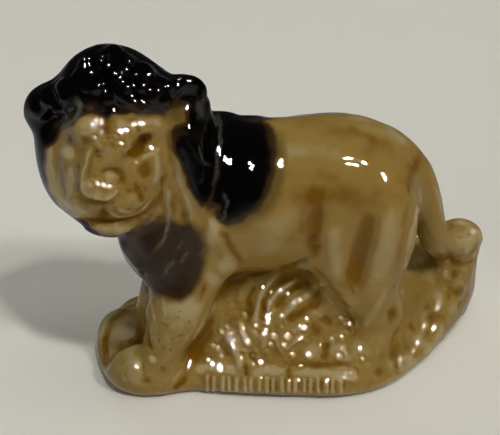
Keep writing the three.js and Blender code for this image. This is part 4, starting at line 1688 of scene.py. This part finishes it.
@dataclass(frozen=True)
class Paint:
    """What is painted under the glaze and where the glaze pools, for every corner of the skin.

    The coats of dark paint are in painting order. The other layers have no order.
    """

    coats: tuple[tuple[Coat, Area], ...] = (
        (Coat.LAID, (
            Dip((-13.5, 1.0, 31.5), (9.5, 5.5, 7.0), 1.2),
            Dip((-13.0, 2.6, 26.0), (10.5, 5.2, 11.0), 1.2),
            Dip((-4.0, 3.4, 23.0), (4.8, 5.0, 7.0), 2.0),
            Dip((-5.0, -0.5, 29.5), (3.8, 3.4, 4.8), 1.0),
            Dip((-20.5, -2.5, 24.5), (3.5, 5.0, 8.0), 0.8),
            Dip((-11.0, -2.5, 14.0), (4.0, 4.0, 4.0), 1.2),
            Brush(CROWN, 0.8),
            Brush(SHOULDER, 1.4),
        )),
        (Coat.WIPED, (Brush(FACE, 0.75, farthest=1.0, turn=-0.1),)),
        (Coat.LAID, (
            Dip((-14.0, -2.6, 17.4), (5.4, 4.2, 3.4), 1.0),
            Brush(CHEST, 1.8, 0.76, farthest=2.0),
        )),
        (Coat.WIPED, (
            Blot((178, 270), 1.7, 1.2, 0.25, lean=30),
            Blot((193, 246), 1.3, 1.1, 0.3),
            Blot((164, 241), 1.1, 0.9, 0.22),
        )),
        (Coat.LAID, (Brush(RIM, 0.4),)),
        (Coat.WIPED, (
            Blot((171, 112), 0.75, 0.8, 0.7, lean=30),
            Blot((182, 108), 0.7, 0.6, 0.5),
            Blot((186, 134), 1.1, 0.8, 0.2),
            Blot((175, 138), 0.5, 1.2, 0.25, lean=20),
            Blot((71, 136), 1.2, 0.9, 0.75, lean=30),
            Wash(((52, 128), (64, 121), (74, 110)), 0.5, 0.35),
            Blot((135, 107), 2.6, 0.5, 0.3),
            Blot((92, 107), 1.0, 0.7, 0.3),
            Blot((178, 96), 0.8, 0.9, 0.15),
            Wash(((178, 166), (184, 186), (194, 206)), 0.5, 0.5),
            Wash(((167, 224), (164, 240), (152, 252)), 0.35, 0.55),
            Wash(((217, 220), (212, 212), (220, 205)), 0.8, 0.5),
        )),
    )
    pooled: Layer = Pooled()
    pale_glaze_and_painted_light: Layer = PaleGlazeAndPaintedLight()
    olive: Layer = Olive()
    painted_reflection: Layer = PaintedReflection()
    dark_marks: Layer = DarkMarks()
    mottled: Layer = Mottled()
    band: Band = Band()
    band_light: Pair = (0.3, 0.6)
    band_shade: Pair = (0.26, 0.7)
    band_offset: float = 0.36
    seed: int = 5
    sway_size: float = 0.9
    sway: float = 0.25
    mottle_least: float = 0.15
    mottle_more: float = 0.35
    fine_depth: float = 0.055
    lift_depth: float = 0.35
    broad_depth: float = 0.2

    def lay(self, clay: Clay, mesh: bpy.types.Mesh) -> None:
        """Writes the paint on the mesh's corners.

        Args:
            clay: The finished clay, in millimetres.
            mesh: The mesh made of it.
        """
        noise.seed_set(self.seed)
        points, normals = clay.read()
        corners = [vert.co for vert in clay.form.verts]
        sway = np.array([noise.noise_vector(corner * self.sway_size) for corner in corners])
        swayed = points + sway * self.sway
        write(mesh, "dark", self.darken(swayed, normals))
        write(mesh, "olive", self.olive.cover(swayed, normals))
        # painted reflection: the grey light on the ridges of hair and on edges
        write(mesh, "painted_reflection", self.painted_reflection.cover(swayed, normals))
        # dark flecks, with painted shade in two creases of the flank
        write(mesh, "dark_mark", self.dark_marks.cover(points, normals))
        pooled = self.pooled.cover(swayed, normals)
        # pale glaze, with painted light in a few places that the lamps leave in shade
        pale_glaze_and_painted_light = self.pale_glaze_and_painted_light.cover(swayed, normals)
        for route in self.band.strokes():
            beside = tuple((x + self.band_offset * PIXELS_TO_A_MM, y) for x, y in route)
            pale_glaze_and_painted_light = np.maximum(pale_glaze_and_painted_light, Wash(route, *self.band_light).cover(points, normals))
            pooled = np.maximum(pooled, Wash(beside, *self.band_shade).cover(points, normals))
        mottle = np.array([noise.noise((corner + 0.8 * noise.noise_vector(corner / 1.2)) / 1.3)
                           + 0.35 * noise.noise(corner / 0.5) for corner in corners])
        mottle *= self.mottle_least + self.mottle_more * self.mottled.cover(points, normals)
        hollow = clay.noted("fine") / self.fine_depth - clay.noted("lift") / self.lift_depth
        write(mesh, "hollow", np.clip(hollow, -1, 1))
        deepest = np.maximum(pooled, clay.noted("broad") / self.broad_depth)
        write(mesh, "pool", np.clip(deepest - pale_glaze_and_painted_light + mottle, -1, 1))

    def darken(self, points: np.ndarray, normals: np.ndarray) -> np.ndarray:
        """Lays and wipes the coats of dark paint.

        Args:
            points: The points of the skin.
            normals: The directions outwards there.

        Returns:
            How dark the paint is at each, from 0 to 1.
        """
        dark = np.zeros(len(points))
        for coat, area in self.coats:
            for cover in [brush.cover(points, normals) for brush in area]:
                dark = np.maximum(dark, cover) if coat is Coat.LAID else dark * (1 - cover)
        return dark


def write(mesh: bpy.types.Mesh, name: str, values: np.ndarray) -> None:
    """Stores one value for each corner of a mesh.

    Args:
        mesh: The mesh.
        name: The name of the value.
        values: The values, in the order of the corners.
    """
    mesh.attributes.new(name, "FLOAT", "POINT").data.foreach_set("value", values.astype(np.float32))


Socket = bpy.types.NodeSocket
Tone = Socket | Triple


class Pattern:
    """The nodes of a material, which mix its colours by the values kept on the mesh."""

    def __init__(self, tree: bpy.types.NodeTree) -> None:
        """Takes a material's nodes.

        Args:
            tree: The material's node tree.
        """
        self.nodes, self.links = tree.nodes, tree.links

    def value(self, name: str) -> Socket:
        """Reads a value that is kept on the mesh.

        Args:
            name: The name of the value.

        Returns:
            The value.
        """
        node = self.nodes.new("ShaderNodeAttribute")
        node.attribute_name = name
        return node.outputs["Fac"]

    def shape(self, source: Socket, low: float, high: float, top: float = 1.0, bottom: float = 0.0) -> Socket:
        """Runs a value smoothly from one level to another.

        Args:
            source: The value.
            low: Where in the value the run starts.
            high: Where it ends, which may be the lower of the two.
            top: The level at the end of the run.
            bottom: The level at its start.

        Returns:
            The run.
        """
        node = self.nodes.new("ShaderNodeMapRange")
        node.interpolation_type = "SMOOTHSTEP"
        for name, level in (("From Min", low), ("From Max", high), ("To Min", bottom), ("To Max", top)):
            node.inputs[name].default_value = level
        self.links.new(source, node.inputs["Value"])
        return node.outputs["Result"]

    def feed(self, tone: Tone, socket: Socket) -> None:
        """Gives an input a colour, or the output of a node.

        Args:
            tone: The colour or the output.
            socket: The input.
        """
        if isinstance(tone, tuple):
            socket.default_value = (*tone, 1)
        else:
            self.links.new(tone, socket)

    def mix(self, factor: Socket, under: Tone, over: Tone) -> Socket:
        """Lays one colour over another.

        Args:
            factor: How much of the upper one covers.
            under: The lower colour.
            over: The upper colour.

        Returns:
            The mixed colour.
        """
        node = self.nodes.new("ShaderNodeMix")
        node.data_type = "RGBA"
        self.links.new(factor, node.inputs["Factor"])
        self.feed(under, node.inputs["A"])
        self.feed(over, node.inputs["B"])
        return node.outputs["Result"]

    def reckon(self, kind: str, first: Socket, second: float, third: Socket | None = None) -> Socket:
        """Reckons with a value.

        Args:
            kind: What is done, by the name that the math node has for it.
            first: The value.
            second: The number that it is reckoned with.
            third: A further value, where the kind takes one.

        Returns:
            The outcome.
        """
        node = self.nodes.new("ShaderNodeMath")
        node.operation = kind
        node.inputs[1].default_value = second
        self.links.new(first, node.inputs[0])
        if third is not None:
            self.links.new(third, node.inputs[2])
        return node.outputs["Value"]

    def cloud(self, scale: float, detail: float) -> Socket:
        """Makes soft clouds in the object's own space.

        Args:
            scale: How many clouds there are to a metre.
            detail: How many finer ones each is broken into.

        Returns:
            Their strength, about one half on average.
        """
        node = self.nodes.new("ShaderNodeTexNoise")
        node.inputs["Scale"].default_value = scale
        node.inputs["Detail"].default_value = detail
        self.links.new(self.nodes.new("ShaderNodeTexCoord").outputs["Object"], node.inputs["Vector"])
        return node.outputs["Fac"]

    def ramp(self, factor: Socket, tones: Sequence[tuple[float, Triple]]) -> Socket:
        """Runs a value through some colours.

        Args:
            factor: The value.
            tones: The level of each colour, from 0 for the first to 1 for the last, and the colour.

        Returns:
            The colour for the value.
        """
        node = self.nodes.new("ShaderNodeValToRGB")
        stops = node.color_ramp.elements
        stops[0].position, stops[1].position = tones[0][0], tones[-1][0]
        for level, _ in tones[1:-1]:
            stops.new(level)
        for stop, (_, tone) in zip(stops, tones):
            stop.color = (*tone, 1)
        self.links.new(factor, node.inputs["Fac"])
        return node.outputs["Color"]


@dataclass(frozen=True)
class Glaze:
    """The glazed surface: honey over the body, pooling darker, with the mane painted under it."""

    honey: Triple = (0.275, 0.175, 0.042)
    pool: Triple = (0.160, 0.072, 0.002)
    pale: Triple = (0.42, 0.34, 0.18)
    olive: Triple = (0.09, 0.06, 0.012)
    dark_mark: Triple = (0.075, 0.02, 0.003)
    # the colour of the painted reflection, where the glaze would mirror the pale room
    grey: Triple = (0.2, 0.182, 0.145)
    mane: tuple[tuple[float, Triple], ...] = (
        (0.0, (0.10, 0.07, 0.02)),
        (0.35, (0.05, 0.024, 0.008)),
        (0.66, (0.033, 0.018, 0.007)),
        (0.85, (0.006, 0.0025, 0.001)),
        (1.0, (0.0010, 0.0006, 0.0003)),
    )
    roughness: float = 0.03
    refraction: float = 1.3
    milkiness: float = 0.5
    milk_radius: Triple = (1.0, 0.7, 0.4)
    milk_scale: float = 0.0009
    cloud_scale: float = 260.0
    cloud_detail: float = 3.0
    cloud_strength: float = 1.2
    bare_sheen: float = 0.5
    mane_sheen: float = 1.0

    def material(self) -> bpy.types.Material:
        """Builds the material.

        Returns:
            The material, with its pattern nodes.
        """
        made = bpy.data.materials.new(SLOT)
        made.use_nodes = True
        shader = made.node_tree.nodes["Principled BSDF"]
        shader.inputs["Roughness"].default_value = self.roughness
        shader.inputs["IOR"].default_value = self.refraction
        shader.inputs["Subsurface Weight"].default_value = self.milkiness
        shader.inputs["Subsurface Radius"].default_value = self.milk_radius
        shader.inputs["Subsurface Scale"].default_value = self.milk_scale
        pattern = Pattern(made.node_tree)
        hollow, dark = pattern.value("hollow"), pattern.value("dark")
        cloud = pattern.cloud(self.cloud_scale, self.cloud_detail)
        drifted = pattern.reckon("MULTIPLY_ADD", cloud, self.cloud_strength, pattern.value("pool"))
        pooled = pattern.reckon("SUBTRACT", drifted, self.cloud_strength / 2)
        colour = pattern.mix(pattern.shape(hollow, -0.15, -1.0, 0.6), self.honey, self.pale)
        colour = pattern.mix(pattern.shape(pooled, -0.05, -0.9, 0.8), colour, self.pale)
        colour = pattern.mix(pattern.shape(pooled, 0.05, 0.9, 0.95), colour, self.pool)
        colour = pattern.mix(pattern.shape(hollow, 0.15, 0.9, 0.75), colour, self.pool)
        colour = pattern.mix(pattern.value("olive"), colour, self.olive)
        # dark flecks and marks, two of them painted shade in creases of the flank
        colour = pattern.mix(pattern.value("dark_mark"), colour, self.dark_mark)
        painted = pattern.mix(pattern.shape(dark, 0.0, 0.5), colour, pattern.ramp(dark, self.mane))
        # the painted reflection is laid over all the other colours
        pattern.feed(pattern.mix(pattern.value("painted_reflection"), painted, self.grey), shader.inputs["Base Color"])
        sheen = pattern.shape(dark, 0.3, 1.0, self.mane_sheen, self.bare_sheen)
        pattern.feed(sheen, shader.inputs["Specular IOR Level"])
        return made


@dataclass(frozen=True)
class Figurine:
    """The whole figurine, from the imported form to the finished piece.

    The cells are the skin's own, in millimetres. The boxes, each from its lowest to its highest
    corner, are where the skin keeps its cells, and where they are divided once more.
    """

    parts: tuple[Part, ...] = (Face(), Mane(), Forelegs(), HindLegs(), Tail(), Grass(), Band(), Ground(),
                               BackOfMane(), HiddenGround())
    name: str = "glazed_lion"
    packed_cell: float = 0.28
    packed_passes: int = 14
    cell: float = 0.22
    passes: int = 5
    late_passes: int = 3
    hollows: tuple[tuple[str, int], ...] = (("fine", 5), ("broad", 45))
    cut: float = 0.04
    corners: int = 51000
    kept: Boxes = (((-22, -12, 16), (-3.5, -1, 36)), ((-22, -2, 29), (-3.5, 3.5, 36)),
                   ((-18, -12, -1), (-2.5, -2, 16)), ((-4, -12, -1), (11, 0, 12)), ((2, -6, 20), (12, 0, 26)))
    refined: Boxes = (((-19.5, -12, 18), (-7.5, -5, 30.5)), ((-17, -12, 0.5), (-4, -5.5, 14)),
                      ((-4, -12, 0.5), (9.5, -2, 11)))

    def build(self) -> bpy.types.Object:
        """Works the clay and dresses it.

        Returns:
            The finished piece.
        """
        clay = Clay(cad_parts[NODE])
        self.press(clay)
        self.work(clay)
        piece = self.dress(clay)
        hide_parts(NODE)
        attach(piece, "root")
        return piece

    def press(self, clay: Clay) -> None:
        """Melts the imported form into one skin, and then the masses on it.

        Args:
            clay: The clay.
        """
        clay.melt(self.packed_cell, self.packed_passes)
        for part in self.parts:
            part.press(clay)
        clay.melt(self.cell, self.passes)
        for part in self.parts:
            part.press_late(clay)
        clay.melt(self.cell, self.late_passes)
        for name, passes in self.hollows:
            clay.note(name, clay.hollows(passes))
        clay.level(self.cut)
        clay.thin(self.kept, self.corners)
        clay.refine(self.refined)
        log.info("skin of %d corners", len(clay.form.verts))

    def work(self, clay: Clay) -> None:
        """Works the strokes and the glints into the skin.

        Args:
            clay: The clay with all its masses melted in.
        """
        relief = Relief(clay)
        for part in self.parts:
            part.draw(relief)
        relief.settle()
        facets = Facets(clay)
        for part in self.parts:
            part.shine(facets)
        facets.settle()

    def dress(self, clay: Clay) -> bpy.types.Object:
        """Makes the piece of the finished clay, paints it and glazes it.

        Args:
            clay: The finished clay, which is given up.

        Returns:
            The piece, in metres.
        """
        mesh = bpy.data.meshes.new(self.name)
        clay.form.to_mesh(mesh)
        Paint().lay(clay, mesh)
        clay.form.free()
        mesh.transform(Matrix.Scale(MM, 4))
        mesh.shade_smooth()
        piece = bpy.data.objects.new(self.name, mesh)
        bpy.context.scene.collection.objects.link(piece)
        mesh.materials.append(Glaze().material())
        return piece


@dataclass(frozen=True)
class Lamp:
    """A square lamp that faces the figurine, with its distance and its side in metres, its power in watts."""

    name: str
    towards: Triple
    distance: float
    size: float
    power: float
    mirrored: bool = False
    lights: bool = True

    def hang(self) -> None:
        """Hangs it."""
        light = bpy.data.lights.new(self.name, "AREA")
        light.energy = self.power
        light.size = self.size
        lamp = bpy.data.objects.new(self.name, light)
        lamp.location = Vector(self.towards).normalized() * self.distance
        lamp.rotation_euler = Vector(lamp.location).to_track_quat("Z", "Y").to_euler()
        lamp.visible_glossy = self.mirrored
        lamp.visible_diffuse = self.lights
        bpy.context.scene.collection.objects.link(lamp)


@dataclass(frozen=True)
class Studio:
    """The floor, the light and the camera."""

    floor_reach: float = 1.5
    floor_colour: Triple = (0.74, 0.715, 0.625)
    floor_roughness: float = 0.6
    floor_sheen: float = 0.1
    room_colour: Triple = (0.93, 0.96, 1.0)
    room_low: float = -0.65
    room_high: float = 0.0
    room_low_strength: float = 0.38
    room_high_strength: float = 0.025
    lamps: tuple[Lamp, ...] = (
        Lamp("overhead", (0.15, 0.1, 1.0), 1.6, 1.2, 6.6),
        Lamp("fill", (-0.8, -1.0, 0.4), 1.3, 1.0, 3.55),
        Lamp("back", (-0.3, 1.0, 0.45), 1.3, 1.0, 3.4),
        Lamp("key", (0.22, -0.46, 1.0), 0.9, 0.05, 1.8),
        Lamp("side", (0.73, -0.62, 1.0), 0.9, 0.08, 2.3),
        Lamp("key_glint", (0.58, -0.5, 1.0), 0.9, 0.04, 14.0, mirrored=True, lights=False),
        Lamp("back_glint", (-0.3, 0.7, 1.0), 0.9, 0.035, 4.0, mirrored=True, lights=False),
    )
    spot_places: Route = ((0.67, -0.72), (0.7, -0.57), (0.74, -0.66), (0.78, -0.74), (0.79, -0.6))
    spot_distance: float = 0.9
    spot_size: float = 0.021
    spot_power: float = 4.8
    sensor: float = 36.0
    clip_start: float = 0.01

    def build(self) -> None:
        """Sets them all up."""
        self.floor()
        self.room()
        for lamp in (*self.lamps, *self.spots()):
            lamp.hang()
        self.camera()

    def spots(self) -> list[Lamp]:
        """The small lamps that the glaze mirrors in a cluster of dots."""
        return [Lamp(f"spot_{k}", (x, y, 1.0), self.spot_distance, self.spot_size, self.spot_power,
                     mirrored=True, lights=False) for k, (x, y) in enumerate(self.spot_places)]

    def floor(self) -> None:
        """Lays the pale floor."""
        form = bmesh.new()
        bmesh.ops.create_grid(form, x_segments=1, y_segments=1, size=self.floor_reach)
        mesh = bpy.data.meshes.new("floor")
        form.to_mesh(mesh)
        form.free()
        floor = bpy.data.objects.new("floor", mesh)
        bpy.context.scene.collection.objects.link(floor)
        paint = bpy.data.materials.new("pale_floor")
        paint.use_nodes = True
        shader = paint.node_tree.nodes["Principled BSDF"]
        shader.inputs["Base Color"].default_value = (*self.floor_colour, 1)
        shader.inputs["Roughness"].default_value = self.floor_roughness
        shader.inputs["Specular IOR Level"].default_value = self.floor_sheen
        mesh.materials.append(paint)
        floor.visible_glossy = False

    def room(self) -> None:
        """Lights the room itself, brighter from below, where a pale table would be mirrored."""
        world = bpy.data.worlds.new("room")
        world.use_nodes = True
        pattern = Pattern(world.node_tree)
        background = pattern.nodes["Background"]
        pattern.feed(self.room_colour, background.inputs["Color"])
        height = pattern.nodes.new("ShaderNodeSeparateXYZ")
        way = pattern.nodes.new("ShaderNodeTexCoord")
        pattern.links.new(way.outputs["Generated"], height.inputs["Vector"])
        fade = pattern.shape(height.outputs["Z"], self.room_low, self.room_high,
                             self.room_high_strength, self.room_low_strength)
        pattern.feed(fade, background.inputs["Strength"])
        bpy.context.scene.world = world

    def camera(self) -> None:
        """Places the camera at the photograph's viewing angle."""
        sheet = SHEETS[Side.SHOWN]
        lens = bpy.data.cameras.new("camera")
        lens.sensor_width = self.sensor
        lens.lens = sheet.distance * PIXELS_TO_A_MM * self.sensor / PHOTO_WIDTH
        lens.clip_start = self.clip_start
        camera = bpy.data.objects.new("camera", lens)
        camera.location = sheet.eye() * MM
        camera.rotation_euler = sheet.forward().to_track_quat("-Z", "Y").to_euler()
        bpy.context.scene.collection.objects.link(camera)
        bpy.context.scene.camera = camera


def main() -> None:
    """Builds the figurine and its studio."""
    logging.basicConfig(level=logging.INFO, format="%(asctime)s %(name)s: %(message)s")
    bpy.context.scene.view_settings.view_transform = "Standard"
    Studio().build()
    piece = Figurine().build()
    log.info("%s: %d triangles", piece.name, sum(len(face.vertices) - 2 for face in piece.data.polygons))


if __name__ == "__main__":
    main()
